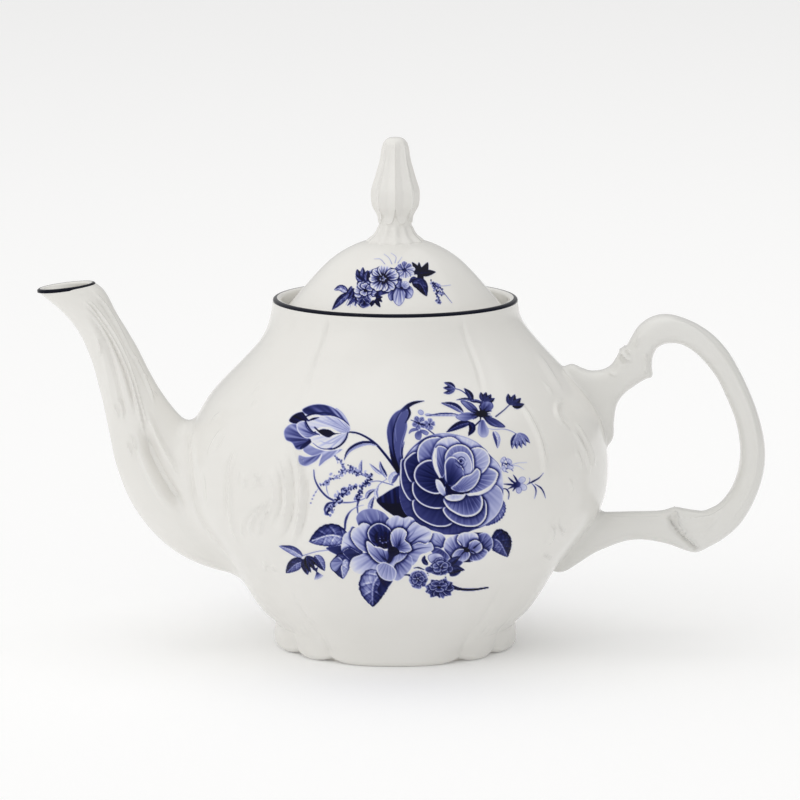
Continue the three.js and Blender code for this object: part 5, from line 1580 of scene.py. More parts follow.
    S(cv, [(467, 494.2), (479, 493.4), (489, 488.5), (496, 481.5)], [1.2, 3.4, 3.6, .8], [.03, .04, .06, .05], lat=.05)
    # ---- third bloom, lower right
    cv.vk, cv.dk = 0.6, 0.1
    B(cv, [(448, 556), (447, 545), (454, 537), (466, 534), (484, 533), (490, 541), (488, 550), (481, 557), (470, 562), (458, 561)], .86, .7, (0, -1))
    P(cv, [(478, 535), (486, 532.5), (492, 538), (493, 546), (488, 552), (481, 550), (477, 543)], (474, 556), .92, .34, rim=.9, tone=.14, vein=.3, nv=30, shade=.8)
    P(cv, [(472, 549), (480, 548), (488, 551), (485, 557), (478, 561), (470, 560)], (468, 545), .92, .30, rim=.8, tone=.10, vein=.25, nv=26, shade=.85)
    P(cv, [(429, 545), (431, 535), (437, 532), (444, 535), (446, 544), (440, 549), (433, 549)], (446, 548), .62, .08, rim=.8, tone=.04, vein=.14, nv=18, shade=.6)
    P(cv, [(444, 548), (446, 539), (452, 535.5), (459, 535), (463, 541), (462, 549), (455, 556), (448, 554)], (460, 557), .82, .10, rim=.8, tone=.04, vein=.16, nv=20, shade=.75, power=.9)
    P(cv, [(457, 540), (460, 534), (468, 532), (477, 534), (478, 541), (472, 546), (462, 546)], (466, 555), .78, .08, rim=.8, tone=.04, vein=.14, nv=20, shade=.8, power=.9)
    P(cv, [(468, 545), (475, 540), (481, 543), (482, 549), (476, 553), (470, 552)], (466, 556), .84, .20, rim=.8, tone=.06, vein=.16, nv=20, shade=.9)
    P(cv, [(452, 557), (457, 550), (465, 549), (470, 553), (468, 559), (460, 562.5), (455, 561)], (466, 545), .90, .14, rim=.8, tone=.06, vein=.16, nv=22, shade=.9, power=.9)
    P(cv, [(431, 549), (437, 547), (445, 551), (450, 558), (444, 562), (436, 558)], (446, 546), .9, .34, rim=.7, tone=.12, vein=.16, nv=20, shade=.8)
    for q in (((463, 548), (461, 543), (457, 539)), ((468, 547), (469, 541), (468, 536)), ((474, 548), (480, 543), (486, 538)), ((464, 552), (460, 556), (458, 560)), ((472, 551), (478, 554), (483, 555))):
        S(cv, q, [1.6, 1.1, .5], [.95, .6, .3])
    B(cv, ellipse(467, 549.5, 3.2, 2.2, .2, 9, .3, cv.rng), .98)
    # ---- peony: pale ruffled petals, dark in their folds
    cv.vk, cv.dk = 0.7, 0.0
    cv.lk = 0.05
    q = (387, 548)
    P(cv, [(356, 518), (360, 511.5), (368, 508.5), (378, 509.5), (386, 514), (390, 521), (387, 530), (372, 532), (360, 527)], q, .62, .30, rim=.5, tone=.14, vein=.18, nv=20)
    S(cv, [(378, 510), (380, 517), (379, 525)], [.6, 1.2, 1.6], [.4, .5, .6])
    S(cv, [(365, 511), (367, 518), (371, 524)], [.5, 1.0, 1.4], [.35, .45, .5])
    P(cv, [(386, 524), (390, 518), (397, 515.5), (404, 518), (409, 516.5), (414, 519), (416, 525), (414, 534), (402, 538), (392, 534)], q, .92, .03, rim=.4, tone=.02, vein=.14, nv=22, shade=.7, power=.8)
    S(cv, [(404, 519), (403, 526), (399, 533)], [.6, 1.4, 2.0], [.3, .5, .7])
    S(cv, [(411, 519), (411, 526), (407, 533)], [.5, 1.2, 1.6], [.25, .45, .6])
    P(cv, [(404, 538), (408, 529), (415, 522), (420, 525), (426, 527), (432, 532), (430, 540), (420, 547), (410, 550)], q, .88, .05, rim=.4, tone=.02, vein=.16, nv=24, shade=.75, power=.8)
    S(cv, [(429, 532), (421, 536), (411, 543)], [.6, 1.4, 2.0], [.3, .55, .75])
    S(cv, [(418, 525), (414, 532), (408, 539)], [.5, 1.0, 1.5], [.25, .4, .6])
    P(cv, [(402, 552), (410, 547), (419, 542.5), (426, 544), (431, 542.5), (433.5, 549), (427, 553), (421, 555), (417, 562), (412, 566), (405, 562)], q, .95, .12, rim=.5, tone=.03, vein=.16, nv=24, shade=.75, power=.8)
    S(cv, [(431, 547), (421, 548), (411, 551)], [.6, 1.3, 1.8], [.35, .55, .75])
    P(cv, [(377, 566), (378.5, 574), (384, 580), (391, 579), (398, 581), (405, 576), (412, 567), (411, 556), (396, 552), (384, 556)], q, .95, .20, rim=.5, tone=.08, vein=.2, nv=26, power=.85)
    S(cv, [(398, 580), (399, 571), (397, 562)], [.5, 1.2, 1.8], [.3, .45, .7])
    P(cv, [(346, 556), (341.5, 550), (342, 543), (344, 535), (350, 530), (352, 526), (358, 530), (362, 544), (362, 556), (354, 560)], q, .85, .05, rim=.4, tone=.02, vein=.12, nv=22, shade=.6, power=.8)
    S(cv, [(344, 542), (350, 546), (356, 553)], [.5, 1.2, 1.8], [.25, .5, .8])
    P(cv, [(343, 552), (350, 548), (360, 553), (372, 553), (368, 562), (354, 562)], q, 1.0, .62, rim=.4, tone=.3, vein=.12, nv=24, shade=.8)
    P(cv, [(350, 565), (353, 558), (360, 555), (368, 552), (378, 553), (388, 557), (386, 565), (378, 570), (370, 572), (361, 574.5), (354, 572)], q, .98, .02, rim=.5, tone=.02, vein=.12, nv=24, shade=.8, power=.75)
    S(cv, [(356, 570), (364, 563), (374, 558)], [.5, .9, 1.4], [.15, .3, .5])
    S(cv, [(371, 571), (374, 565), (379, 560)], [.5, .9, 1.4], [.15, .3, .55])
    P(cv, [(351, 536), (353, 529), (358, 526.5), (363, 523), (369, 524.5), (374, 530), (376, 542), (372, 553), (363, 551), (355, 544)], (379, 556), 1.0, .04, rim=.5, tone=.02, vein=.14, nv=22, shade=.8, power=.9)
    S(cv, [(356, 530), (362, 537), (369, 547)], [.5, 1.0, 1.6], [.15, .35, .7])
    P(cv, [(384, 562), (391, 556), (398, 554), (405, 548), (407.5, 553), (402, 560), (395, 564), (393, 571), (388.5, 573.5), (384, 568)], (400, 548), .75, .04, rim=.5, tone=.02, vein=.1, nv=20, shade=.95, power=.8)
    P(cv, [(368, 532), (372, 526), (379, 523), (385, 525), (390, 529), (393, 536), (393, 545), (386, 549), (376, 546), (370, 540)], (387, 545), 1.0, .50, rim=1.0, tone=.05, vein=.2, nv=20, shade=.9, power=1.6)
    B(cv, [(374, 536), (380, 531), (388, 533), (392, 540), (388, 547), (379, 545)], .96, .8, (0, -1), vein=.1)
    P(cv, [(391, 534), (396, 528.5), (403, 528.5), (407, 533), (405, 540), (409.5, 544), (411.5, 550), (405, 552.5), (398, 550.5), (392, 544)], (397, 548), .95, .04, rim=.6, tone=.02, vein=.12, nv=18, shade=.95, power=.8)
    S(cv, [(403, 530), (401, 538), (399, 545)], [.5, 1.2, 2.0], [.2, .5, .85])
    P(cv, [(367, 541), (371, 543), (375, 546.5), (381, 547.5), (386, 550), (391, 548.5), (393, 554), (389, 562), (380, 563), (372, 557), (367.5, 549)],
      (389, 568), 1.0, .06, rim=.8, tone=.03, vein=.2, nv=24, shade=.95, power=1.1)
    B(cv, [(388, 549), (392, 546), (398, 549), (400, 553), (394, 557), (391, 562), (386, 564), (389, 556)], .98, .85)
    S(cv, [(371, 545), (377, 552), (386, 560)], [.5, 1.2, 2.0], [.2, .45, .9])
    for k in range(15):
        a, r = 2.4 * k, 1.2 + 4.2 * cv.rng.rand()
        B(cv, ellipse(384 + r * math.cos(a), 540 + .75 * r * math.sin(a), .75, .6, a, 7), (.30, 1.0, .55)[k % 3])
    for k in range(6):
        a = -2.6 + .42 * k
        S(cv, [(384 + 2 * math.cos(a), 542 + 1.6 * math.sin(a)), (384 + 7.2 * math.cos(a), 541.5 + 6.2 * math.sin(a))], [.6, .9, .5], [1, .95, .7])
    cv.vk, cv.dk, cv.lk = 0.8, 0.05, 0.0
    # ---- leaf under it
    L(cv, [(382, 572), (374, 584), (373, 607)], 30, .58, vein=.48, nv=4.5, half=-.10, mid=.3, saw=.05, edge=.35, shape=.72, fork=.75, tipdark=.3)
    P(cv, [(376, 572), (381, 573), (387, 580), (393, 580), (388, 588), (381, 596), (377, 590), (380, 582)], (378, 578), .95, .72, rim=.5, tone=.6, vein=.1)
    P(cv, [(377, 566), (379, 575), (385, 580), (394, 580), (396, 570), (384, 562)], (390, 555), .5, .22, rim=.9, tone=.06, vein=.14, nv=30)
    # ---- small flowers along the bottom
    S(cv, [(450, 586), (460, 589), (474, 589.5), (488, 587.5)], [4.5, 2.6, 2.4, 1.6], [.8, .95, 1, 1])
    S(cv, [(414, 568), (418, 567.5), (424, 569.5)], [.8, 1.8, .8], [.8, .9, .7])
    S(cv, [(405, 575), (409, 575), (412, 577)], [1.2, 2.2, 1.2], [.7, .8, .7])
    P(cv, [(430, 562), (428, 556), (434, 553), (441, 554), (445, 560), (440, 564)], (437, 566), .6, .10, rim=.8, tone=.5, vein=.08)
    P(cv, [(449, 561), (456, 559.5), (463, 562), (460, 566), (452, 568)], (446, 566), .85, .6, rim=.6, tone=.4)
    P(cv, [(450, 570), (455, 569), (461, 571.5), (456, 576), (450, 576)], (446, 572), .9, .7, rim=.6, tone=.5)
    L(cv, [(447, 572), (456, 569), (465, 570)], 7.5, .86, vein=.2, nv=3, half=.08, mid=.2)
    L(cv, [(446, 566), (454, 560), (461, 556)], 6.5, .82, vein=.2, nv=3, half=.08, mid=.2)
    L(cv, [(428, 565), (424, 560), (425, 555)], 5.0, .84, vein=0, mid=.2, half=.06)
    floret(cv, 418.5, 579, 10.5, 5, .5, .85, .34, rim=.7, eye=0, wide=.9)
    floret(cv, 418.0, 578.5, 6.5, 5, 1.2, .95, .42, rim=.6, eye=.3, wide=.8)
    floret(cv, 440, 568, 12.5, 7, .2, .92, .52, squash=(1.05, .72), rim=.6, eye=0, wide=.7)
    floret(cv, 441, 566.5, 8.0, 5, .9, .95, .36, squash=(1.05, .72), rim=.7, eye=.28, wide=.85)
    for k, (dx, dy) in enumerate(((-15, 1), (-11, 7), (-3, 9), (6, 9.5), (13, 5), (14, -3), (8, -8), (-1, -9), (-10, -6))):
        j = 1 + .14 * (cv.rng.rand() - .5)
        ax_, ay_ = 440 + dx * j, 588 + dy * j
        n_ = math.hypot(dx, dy)
        ox, oy = -dy / n_ * 4.4, dx / n_ * 4.4
        P(cv, [(440 + .15 * dx, 588 + .15 * dy), (440 + .6 * dx + ox, 588 + .6 * dy + oy), (ax_ + .62 * ox, ay_ + .62 * oy), (ax_ - .1 * dx, ay_ - .1 * dy),
               (ax_ - .62 * ox, ay_ - .62 * oy), (440 + .6 * dx - ox, 588 + .6 * dy - oy)], (440, 588), .98, .40 + .14 * (k % 3), rim=.6, tone=.25, vein=.25, nv=30, shade=.95, sw=2)
    floret(cv, 439, 586.5, 8.0, 5, .3, 1.0, .42, squash=(1.1, .66), rim=.7, eye=.3, wide=.9)
    B(cv, ellipse(418, 578.5, 1.0, .8), .3)
    B(cv, ellipse(440.6, 566.6, 1.1, .8), .35)
    S(cv, [(434, 587), (438, 585.4), (443, 586.6)], [.5, .9, .5], [.3, .35, .4])
    for k in range(14):
        a = 2.4 * k
        B(cv, ellipse(438 + 15 * math.cos(a) * (.5 + .5 * cv.rng.rand()), 577 + 13 * math.sin(a) * (.5 + .5 * cv.rng.rand()), .9, .6, a, 6), (.95, .3, .8)[k % 3])


def paint_lid(cv):
    S, L, B, P = stroke, leaf, blob, petal
    cv.vk, cv.dk = 0.8, 0.05
    for q in (((392, 264), (389, 258), (384, 254)), ((395, 263), (396, 257), (391, 253)), ((398, 263), (402, 257)), ((385, 264), (380, 259), (374, 259))):
        S(cv, q, [.8, .5], [.35, .22])
    S(cv, [(434, 284), (442, 286), (451, 285)], [.7, .5], [.4, .3])
    S(cv, [(436, 283), (444, 293), (452, 303)], [1.0, .6], [.6, .4])
    spray(cv, [(432, 282), (438, 288), (443, 295)], 26, 4.2, 1.25, (.45, .9), (.8, .5))
    spray(cv, [(434, 285), (437, 293), (440, 304)], 24, 3.4, 1.15, (.5, .9), (.7, .5))
    # dark star of leaves
    L(cv, [(417, 273), (416, 268), (412, 262)], 5.0, .98, vein=0, mid=.05, half=.03)
    L(cv, [(417, 274), (419, 268), (419, 262)], 4.6, .98, vein=0, mid=.05, half=.03)
    L(cv, [(416, 274), (424, 270), (428, 262)], 8.0, .98, vein=0, mid=.08, half=.03)
    L(cv, [(419, 274), (427, 273), (436, 272)], 7.0, .95, vein=0, mid=.15, half=.05)
    L(cv, [(418, 274), (421, 278), (422, 283)], 6.0, .96, vein=0, mid=.08, half=.03)
    L(cv, [(419, 272), (413, 273), (409, 277)], 4.6, .9, vein=0, mid=.05, half=.03)
    # left leaves and sprig
    L(cv, [(348, 292.5), (341, 288.0), (334, 290)], 6.8, .50, vein=.5, nv=3, half=.12, mid=.2, edge=.45)
    L(cv, [(350, 293), (342, 299), (332, 310)], 8.0, .72, vein=.35, nv=3.5, half=.12, mid=.25, edge=.3)
    for x0, y0, x1, y1, w in ((354, 288, 348, 300, 4.6), (356, 291, 351, 304, 4.2), (352, 286, 345, 296, 3.8), (357, 294, 355, 306, 3.4), (355, 297, 347, 306, 3.2)):
        L(cv, [(x0, y0), ((x0 + x1) / 2 + .8, (y0 + y1) / 2), (x1, y1)], w, .74, vein=.15, nv=3, half=.1, mid=.2, edge=.25)
    for k in range(7):
        S(cv, [(350 + k * .8, 297 + k * .5), (346 + 2.1 * k, 305 + (k % 3))], [.9, .4], [.6, .4])
    # everything else grows out of one crowded mass
    B(cv, [(357, 283), (362, 276), (371, 270), (384, 267), (397, 270), (402, 280), (398, 290), (386, 294), (374, 297), (362, 294)], .62, .50, (0, -1), vein=.12)

    def whorl(cx, cy, n, r, ry, w, dark, light, a0=0.0, vein=.28, shade=.85, power=.9, jit=.16):
        for k in range(n):
            a = a0 + 2 * math.pi * k / n + jit * (cv.rng.rand() - .5) * 2
            g = r * (.86 + .26 * cv.rng.rand())
            ux, uy = math.cos(a), math.sin(a) * ry
            vx, vy = -math.sin(a), math.cos(a) * ry
            pts = [(cx + ux * s_ * g + vx * w_ * w, cy + uy * s_ * g + vy * w_ * w) for s_, w_ in
                   ((.1, 0), (.35, .30), (.7, .52), (.92, .38), (1.0, .12), (.95, -.06), (1.01, -.22), (.88, -.44), (.6, -.5), (.3, -.28))]
            P(cv, pts, (cx, cy), dark, light + .16 * (cv.rng.rand() - .4), rim=.6, tone=.06, vein=vein, nv=26, shade=shade, sw=2.2, power=power)

    # petals of the flower behind, between the bud and the open bloom
    for q in (((366, 279), (368, 272), (372, 270), (375, 273), (372, 279)), ((370, 282), (373, 275), (378, 273), (380, 277), (376, 283)),
              ((362, 284), (365, 279), (370, 278), (372, 282), (367, 286)), ((375, 270), (379, 266.5), (384, 266), (386, 269), (380, 273))):
        P(cv, q, (374, 284), .7, .14, rim=.6, tone=.05, vein=.25, nv=22, shade=.7, sw=2)
    # bud, top left
    for x0, y0, x1, y1, w, t_ in ((362, 281, 357, 269, 7.0, .78), (364, 281, 363, 267, 6.4, .66), (366, 281, 368, 270, 5.6, .80), (363, 282, 355.5, 276, 5.0, .70)):
        L(cv, [(x0, y0), ((x0 + x1) / 2 - .6, (y0 + y1) / 2), (x1, y1)], w, t_, vein=.35, nv=4, half=.14, mid=.25, edge=.2, shade=.8)
    # ruffled bloom, lower left, with a dark rose under it
    whorl(364.5, 291.5, 7, 11.5, .86, 10.5, .86, .10, .2, vein=.34, jit=.3)
    whorl(366, 289.5, 4, 7.0, .86, 7.0, .90, .16, .9, vein=.3, jit=.4)
    B(cv, ellipse(365.5, 290.5, 1.9, 1.5, .2, 9, .3, cv.rng), .95)
    B(cv, ellipse(364.5, 302.8, 6.6, 5.0, .1, 11, .08, cv.rng), .92)
    for q, l_ in ((((358.5, 303), (360, 299), (364, 298.5), (363, 302), (361, 305)), .52), (((363, 299), (367, 298.5), (370.5, 301), (369, 304), (366, 302)), .44),
                  (((360, 305), (363, 302.5), (368, 303), (370, 305), (366, 307.5), (362, 307)), .40)):
        P(cv, q, (364.5, 302.5), .98, l_, rim=.5, tone=.2, vein=.2, nv=16, shade=.95, sw=1.4)
    # lower sprig of small leaves
    for x0, y0, x1, y1, w, t_ in ((376, 297, 382.5, 302, 4.0, .92), (375, 299, 380.5, 307.5, 4.4, .95), (374, 300, 371, 307, 4.0, .92), (376, 298, 383, 297, 3.4, .88), (375, 297, 378, 292, 3.2, .85)):
        L(cv, [(x0, y0), ((x0 + x1) / 2, (y0 + y1) / 2), (x1, y1)], w, t_, vein=.1, mid=.15, half=.05)
    # right of centre: a pale bell of a flower and its leaf
    L(cv, [(412, 283), (420, 284), (427, 296.5)], 12.5, .84, vein=.32, nv=3.5, half=.1, mid=.3, edge=.2, shape=.7)
    P(cv, [(390, 289), (394, 284), (399, 289), (397, 297), (391, 301), (388, 296)], (399, 283), .72, .22, rim=.6, tone=.55, vein=.25, nv=20, shade=.5)
    P(cv, [(403, 286), (410, 286), (413.5, 291), (411, 298), (405, 298), (401, 291)], (401, 283), .66, .16, rim=.6, tone=.55, vein=.25, nv=20, shade=.5)
    P(cv, [(395, 290), (400, 287), (405.5, 293), (403.5, 302), (399, 306), (393.5, 301)], (400, 283), .62, .12, rim=.6, tone=.5, vein=.25, nv=22, shade=.75)
    P(cv, [(395, 284), (398, 281), (402, 282), (403, 286), (399, 288)], (402, 288), .66, .08, rim=.5, tone=.3, vein=.2, nv=18, shade=.7)
    P(cv, [(402, 282), (407, 281.5), (409.5, 285.5), (406, 289), (402, 287)], (402, 288), .60, .06, rim=.5, tone=.3, vein=.2, nv=18, shade=.7)
    for k in range(6):
        a = .9 + .5 * k
        S(cv, [(402, 287.6), (402 + 3.4 * math.cos(a), 287.6 + 3.0 * math.sin(a))], [.9, .4], [.9, .7])
    L(cv, [(410, 281.5), (414, 278.5), (418, 280)], 4.2, .72, vein=0, mid=.1, half=.1, edge=.25)
    L(cv, [(409, 283), (412, 281), (413, 284)], 3.4, .85, vein=0, mid=.1, half=.1)
    # pale daisy
    for k, a0 in enumerate((-2.9, -2.3, -1.6, -.9, -.2, .5, 1.2, 1.9, 2.6)):
        o = (404.5, 270.5)
        ux, uy = math.cos(a0), math.sin(a0) * .85
        vx, vy = -math.sin(a0), math.cos(a0) * .85
        g = 10.6 * (.9 + .2 * cv.rng.rand())
        pts = [(o[0] + ux * s_ * g + vx * w_ * 7, o[1] + uy * s_ * g + vy * w_ * 7) for s_, w_ in
               ((.1, 0), (.4, .28), (.8, .42), (1.0, .1), (.95, -.25), (.75, -.42), (.35, -.28))]
        P(cv, pts, o, .85, .06 if a0 > -.3 else .30, rim=.5, tone=.05, vein=.3, nv=24, shade=.6, sw=1.8, power=.7)
    B(cv, ellipse(404.5, 270.3, 2.4, 2.0, 0, 9, .25, cv.rng), .82, .55)
    # the open bloom in the middle: pale tips, hatched to a dark heart
    whorl(383, 279, 8, 15.0, .84, 12.5, 1.1, .04, .15, vein=.42, power=.85, jit=.3)
    o = (383, 278.6)
    spk = []
    for k in range(26):
        r = (8.6 if k % 2 else 4.4) * (1 + .3 * (cv.rng.rand() - .5))
        spk.append((o[0] + r * math.cos(k * math.pi / 13), o[1] + .8 * r * math.sin(k * math.pi / 13)))
    B(cv, spk, 1.0)
    for k in range(16):
        a = 2 * math.pi * k / 16 + .2 * cv.rng.rand()
        S(cv, [(o[0] + 5 * math.cos(a), o[1] + 4.2 * math.sin(a)), (o[0] + 11.5 * math.cos(a), o[1] + 9.2 * math.sin(a))], [.9, .35], [.95, .6])
    for k in range(12):
        a, r = 2.4 * k, .8 + 2.3 * cv.rng.rand()
        B(cv, ellipse(o[0] + r * math.cos(a), o[1] + .8 * r * math.sin(a), .72, .5, a, 6), (.10, .35, .18)[k % 3])


# ink density to the colour seen in the studio light, which is then taken out of it
INK = np.array([[0.00, 212, 213, 220], [0.10, 188, 191, 211], [0.20, 159, 163, 197], [0.30, 130, 135, 177], [0.40, 102, 107, 157],
                [0.50, 77, 82, 134], [0.62, 53, 57, 108], [0.74, 36, 40, 85], [0.86, 23, 27, 64], [0.95, 14, 17, 46], [1.00, 9, 11, 33]])


def ink_linear(d):
    s = np.stack([np.interp(d, INK[:, 0], INK[:, k]) for k in (1, 2, 3)], -1) / 255.0
    s = np.where(s <= 0.04045, s / 12.92, ((s + 0.055) / 1.055) ** 2.4)
    return np.clip((s - 0.008) / 0.80, 0.0008, 1.0)


# the printing screen's contrast
TONE = ([0, .1, .2, .3, .4, .47, .53, .63, .72, .85, 1], [0, .09, .18, .28, .39, .48, .57, .69, .78, .91, 1])


# PRINT-GEOMETRY
def film(name, cv, target, normal_at, body, replaces, back=False, lift=0.035, clear=None):
    """Lays the canvas on a finished mesh: each grid point is dropped onto it along the
    elevation's ray, and only the inked cells are kept."""
    dep = bpy.context.evaluated_depsgraph_get()
    bvh = BVHTree.FromObject(target, dep)
    D = np.interp(cv.D, TONE[0], TONE[1])
    C = smooth01(D / 0.16)
    ink = D > 0.015
    q = ink[:-1, :-1] | ink[1:, :-1] | ink[:-1, 1:] | ink[1:, 1:]
    jj, ii = np.nonzero(q)
    w = D.shape[1]
    f = np.stack([jj * w + ii, jj * w + ii + 1, (jj + 1) * w + ii + 1, (jj + 1) * w + ii], -1)
    used, inv = np.unique(f, return_inverse=True)
    inv = inv.reshape(f.shape)
    px, py = cv.X.reshape(-1)[used], cv.Y.reshape(-1)[used]
    d = ray(px, py)
    out = np.zeros((len(used), 3))
    ok = np.ones(len(used), bool)
    org = Vector(((EL_C[0] + AX) * MM, EL_C[1] * MM, EL_C[2] * MM))
    for k in range(len(used)):
        hit = bvh.ray_cast(org, Vector(d[k]))
        if hit[0] is None:
            ok[k] = False
        else:
            out[k] = hit[0]
    out = out / MM - [AX, 0, 0]
    if back:
        # the same print, turned half round the axis and pressed on from behind
        out[:, 0] *= -1
        out[:, 1] *= -1
        n = onto_body(out, 0.0)[1] if body == 'pot' else normal_at(out)      # smooth: not turned by the relief
        for k in range(len(used)):
            p = out[k] + n[k] * 12.0
            hit = bvh.ray_cast(Vector((p + [AX, 0, 0]) * MM), Vector(-n[k]), 0.03)
            if hit[0] is None:
                ok[k] = False
            else:
                out[k] = np.array(hit[0]) / MM - [AX, 0, 0]
    n = normal_at(out)
    if clear is not None:       # nothing is printed over a drilled hole
        c, a, rad = clear
        a = np.asarray(a, float) / np.linalg.norm(a)
        v = out - np.asarray(c, float)
        ok &= np.linalg.norm(v - (v @ a)[:, None] * a, axis=1) > rad
    keep = ok[inv].all(1)
    inv = inv[keep]
    if back:
        pass
    P = out + n * lift
    ob = make(name, P, [inv], M_PRINT, body, replaces=replaces, closed=False,
              attrs={'ink': ink_linear(np.maximum(D.reshape(-1)[used], 0.12)), 'cover': C.reshape(-1)[used]})
    me = ob.data
    # outward faces
    nn = np.zeros(len(me.polygons) * 3)
    me.polygons.foreach_get('normal', nn)
    m = nn.reshape(-1, 3)
    fc = n[inv].mean(1)
    if (m * fc).sum() < 0:
        me.flip_normals()
    me.normals_split_custom_set_from_vertices([tuple(x) for x in n])
    return ob


def body_normal(p):
    """Normals of the body with its relief, from three nearby surface points."""
    _, n0 = onto_body(p, 0.0)
    up = np.array([0, 0, 1.0])
    a = np.cross(up, n0)
    a /= np.maximum(np.linalg.norm(a, axis=-1, keepdims=True), 1e-9)
    b = np.cross(n0, a)
    e = 0.25
    p1, _ = onto_body(p + a * e, 0.0)
    p2, _ = onto_body(p - a * e, 0.0)
    p3, _ = onto_body(p + b * e, 0.0)
    p4, _ = onto_body(p - b * e, 0.0)
    n = np.cross(p1 - p2, p3 - p4)
    n /= np.maximum(np.linalg.norm(n, axis=-1, keepdims=True), 1e-9)
    s = np.sign((n * n0).sum(-1, keepdims=True))
    return n * s


def lid_normal(p):
    r = np.hypot(p[:, 0], p[:, 1])
    z = p[:, 2]
    e = 0.3
    s = (dome_r(z + e) - dome_r(z - e)) / (2 * e)
    n = np.stack([p[:, 0] / r, p[:, 1] / r, -s], -1)
    return n / np.linalg.norm(n, axis=-1, keepdims=True)


def build_prints():
    cv = Canvas(272, 379, 550, 612, 0.64)
    paint_body(cv)
    # the camellia's shaded side is a touch more open
    q = np.clip(1 - ((cv.X - 438) / 42) ** 2 - ((cv.Y - 478) / 52) ** 2, 0, 1)
    cv.D = cv.D * (1 - 0.10 * smooth01(q * 2.5))
    pot = bpy.data.objects['pot_shell']
    film('print_front', cv, pot, body_normal, 'pot', ['print_body_front'])
    film('print_back', cv, pot, body_normal, 'pot', ['print_body_back'], back=True)
    cl = Canvas(330, 251, 454, 313, 0.5)
    paint_lid(cl)
    cl.D = np.minimum(cl.D * 1.08, 1.0)
    lid = bpy.data.objects['lid_dome_shell']
    film('lid_print_near', cl, lid, lid_normal, 'lid', ['print_lid_front'])
    film('lid_print_far', cl, lid, lid_normal, 'lid', ['print_lid_back'], back=True, clear=(VENT[0], VENT[1], 1.75))

WORLD_STRENGTH = (0.42, 0.95)
EXPOSURE = 0.0
FLOOR_GLOW = 0.10
LIGHTS = [
    ('key_left', (-1.5, -1.3, 1.3), (0, 0, 0.08), (1.6, 1.4), 3.2),
    ('overhead', (0.25, 0.25, 1.9), (0.0, 0.05, 0.0), (2.2, 2.2), 8.0),
]



build_body()
build_foot()
build_seat()
build_spout()
build_handle()
build_rim_line()
build_lid()
build_knob()
build_prints()
drill(bpy.data.objects['pot_shell'], [((-67.0, y, z), (1, 0, 0), 3.6, 16.0) for y, z in STRAINER])

# ------------------------------------------------------------------ stage
floor_me = bpy.data.meshes.new('studio_floor')
NA, RINGS = 96, [0.15, 0.3, 0.5, 0.8, 1.2, 1.8, 2.6, 3.8, 5.5, 8.0]
fv, ff = [(0.0, 0.0, 0.0)], []
for r in RINGS:
    for k in range(NA):
        fv.append((r * math.cos(2 * math.pi * k / NA), r * math.sin(2 * math.pi * k / NA), 0.0))
for k in range(NA):
    ff.append((0, 1 + k, 1 + (k + 1) % NA))
for j in range(len(RINGS) - 1):
    for k in range(NA):
        a, b = 1 + j * NA, 1 + (j + 1) * NA
        ff.append((a + k, b + k, b + (k + 1) % NA, a + (k + 1) % NA))
floor_me.from_pydata(fv, [], ff)
floor_me.polygons.foreach_set('use_smooth', np.ones(len(ff), dtype=bool))
floor = bpy.data.objects.new('studio_floor', floor_me)
bpy.context.scene.collection.objects.link(floor)
fm = bpy.data.materials.new('studio_paper')
fm.use_nodes = True
fb = fm.node_tree.nodes['Principled BSDF']
fn = node(fm.node_tree, 'ShaderNodeTexNoise', (-500, 0))
fn.inputs['Scale'].default_value = 3.0
fr = node(fm.node_tree, 'ShaderNodeValToRGB', (-300, 0))
fr.color_ramp.elements[0].color = (0.93, 0.93, 0.93, 1)
fr.color_ramp.elements[1].color = (0.95, 0.95, 0.95, 1)
fm.node_tree.links.new(fn.outputs['Fac'], fr.inputs['Fac'])
fm.node_tree.links.new(fr.outputs['Color'], fb.inputs['Base Color'])
fb.inputs['Roughness'].default_value = 0.9
fb.inputs['Specular IOR Level'].default_value = 0.1
fb.inputs['Emission Color'].default_value = (1, 1, 1, 1)
fb.inputs['Emission Strength'].default_value = FLOOR_GLOW
floor_me.materials.append(fm)

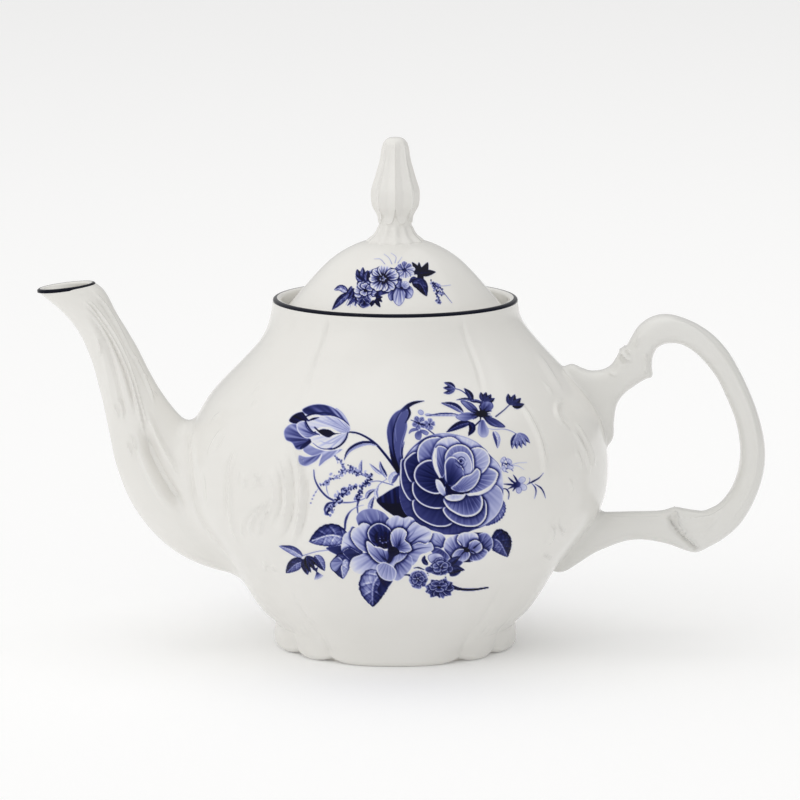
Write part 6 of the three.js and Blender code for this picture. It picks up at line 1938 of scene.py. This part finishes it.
# ------------------------------------------------------------------ light
world = bpy.data.worlds.new('studio_world')
world.use_nodes = True
wt = world.node_tree
bg = wt.nodes['Background']
tc = node(wt, 'ShaderNodeTexCoord', (-900, 0))
dt = node(wt, 'ShaderNodeVectorMath', (-700, 0), operation='DOT_PRODUCT')
dt.inputs[1].default_value = Vector((-0.75, -0.50, 0.42)).normalized()
wr = node(wt, 'ShaderNodeMapRange', (-500, 0), interpolation_type='SMOOTHSTEP')
wr.inputs['From Min'].default_value = -0.9
wr.inputs['From Max'].default_value = 1.0
wr.inputs['To Min'].default_value = WORLD_STRENGTH[0]
wr.inputs['To Max'].default_value = WORLD_STRENGTH[1]
wt.links.new(tc.outputs['Generated'], dt.inputs[0])
wt.links.new(dt.outputs['Value'], wr.inputs['Value'])
wt.links.new(wr.outputs['Result'], bg.inputs[1])
bg.inputs[0].default_value = (1.0, 0.997, 0.99, 1)
bpy.context.scene.world = world


def softbox(name, loc, target, size, energy, colour=(1, 1, 1), shape='RECTANGLE'):
    l = bpy.data.lights.new(name, 'AREA')
    l.shape = shape
    l.size, l.size_y = size
    l.energy = energy
    l.color = colour
    o = bpy.data.objects.new(name, l)
    o.location = loc
    d = Vector(target) - Vector(loc)
    o.rotation_euler = d.to_track_quat('-Z', 'Y').to_euler()
    bpy.context.scene.collection.objects.link(o)
    return o


for args in LIGHTS:
    softbox(*args)

# ------------------------------------------------------------------ camera
cam = bpy.data.cameras.new('camera')
cam.sensor_width = 36.0
cam.lens = EL_K * 36.0 / 800.0
cam.clip_start = 0.05
cam.clip_end = 30.0
co = bpy.data.objects.new('camera', cam)
co.location = ((AX + (400.0 - EL_X0) * PX) * MM, EL_C[1] * MM, EL_C[2] * MM)
pitch = math.atan2(EL_C[2] - EL_T[2], EL_T[1] - EL_C[1])
co.rotation_euler = (math.pi / 2 - pitch, 0, 0)
bpy.context.scene.collection.objects.link(co)
bpy.context.scene.camera = co
bpy.context.scene.view_settings.view_transform = 'Standard'
bpy.context.scene.view_settings.look = 'None'
bpy.context.scene.view_settings.exposure = EXPOSURE
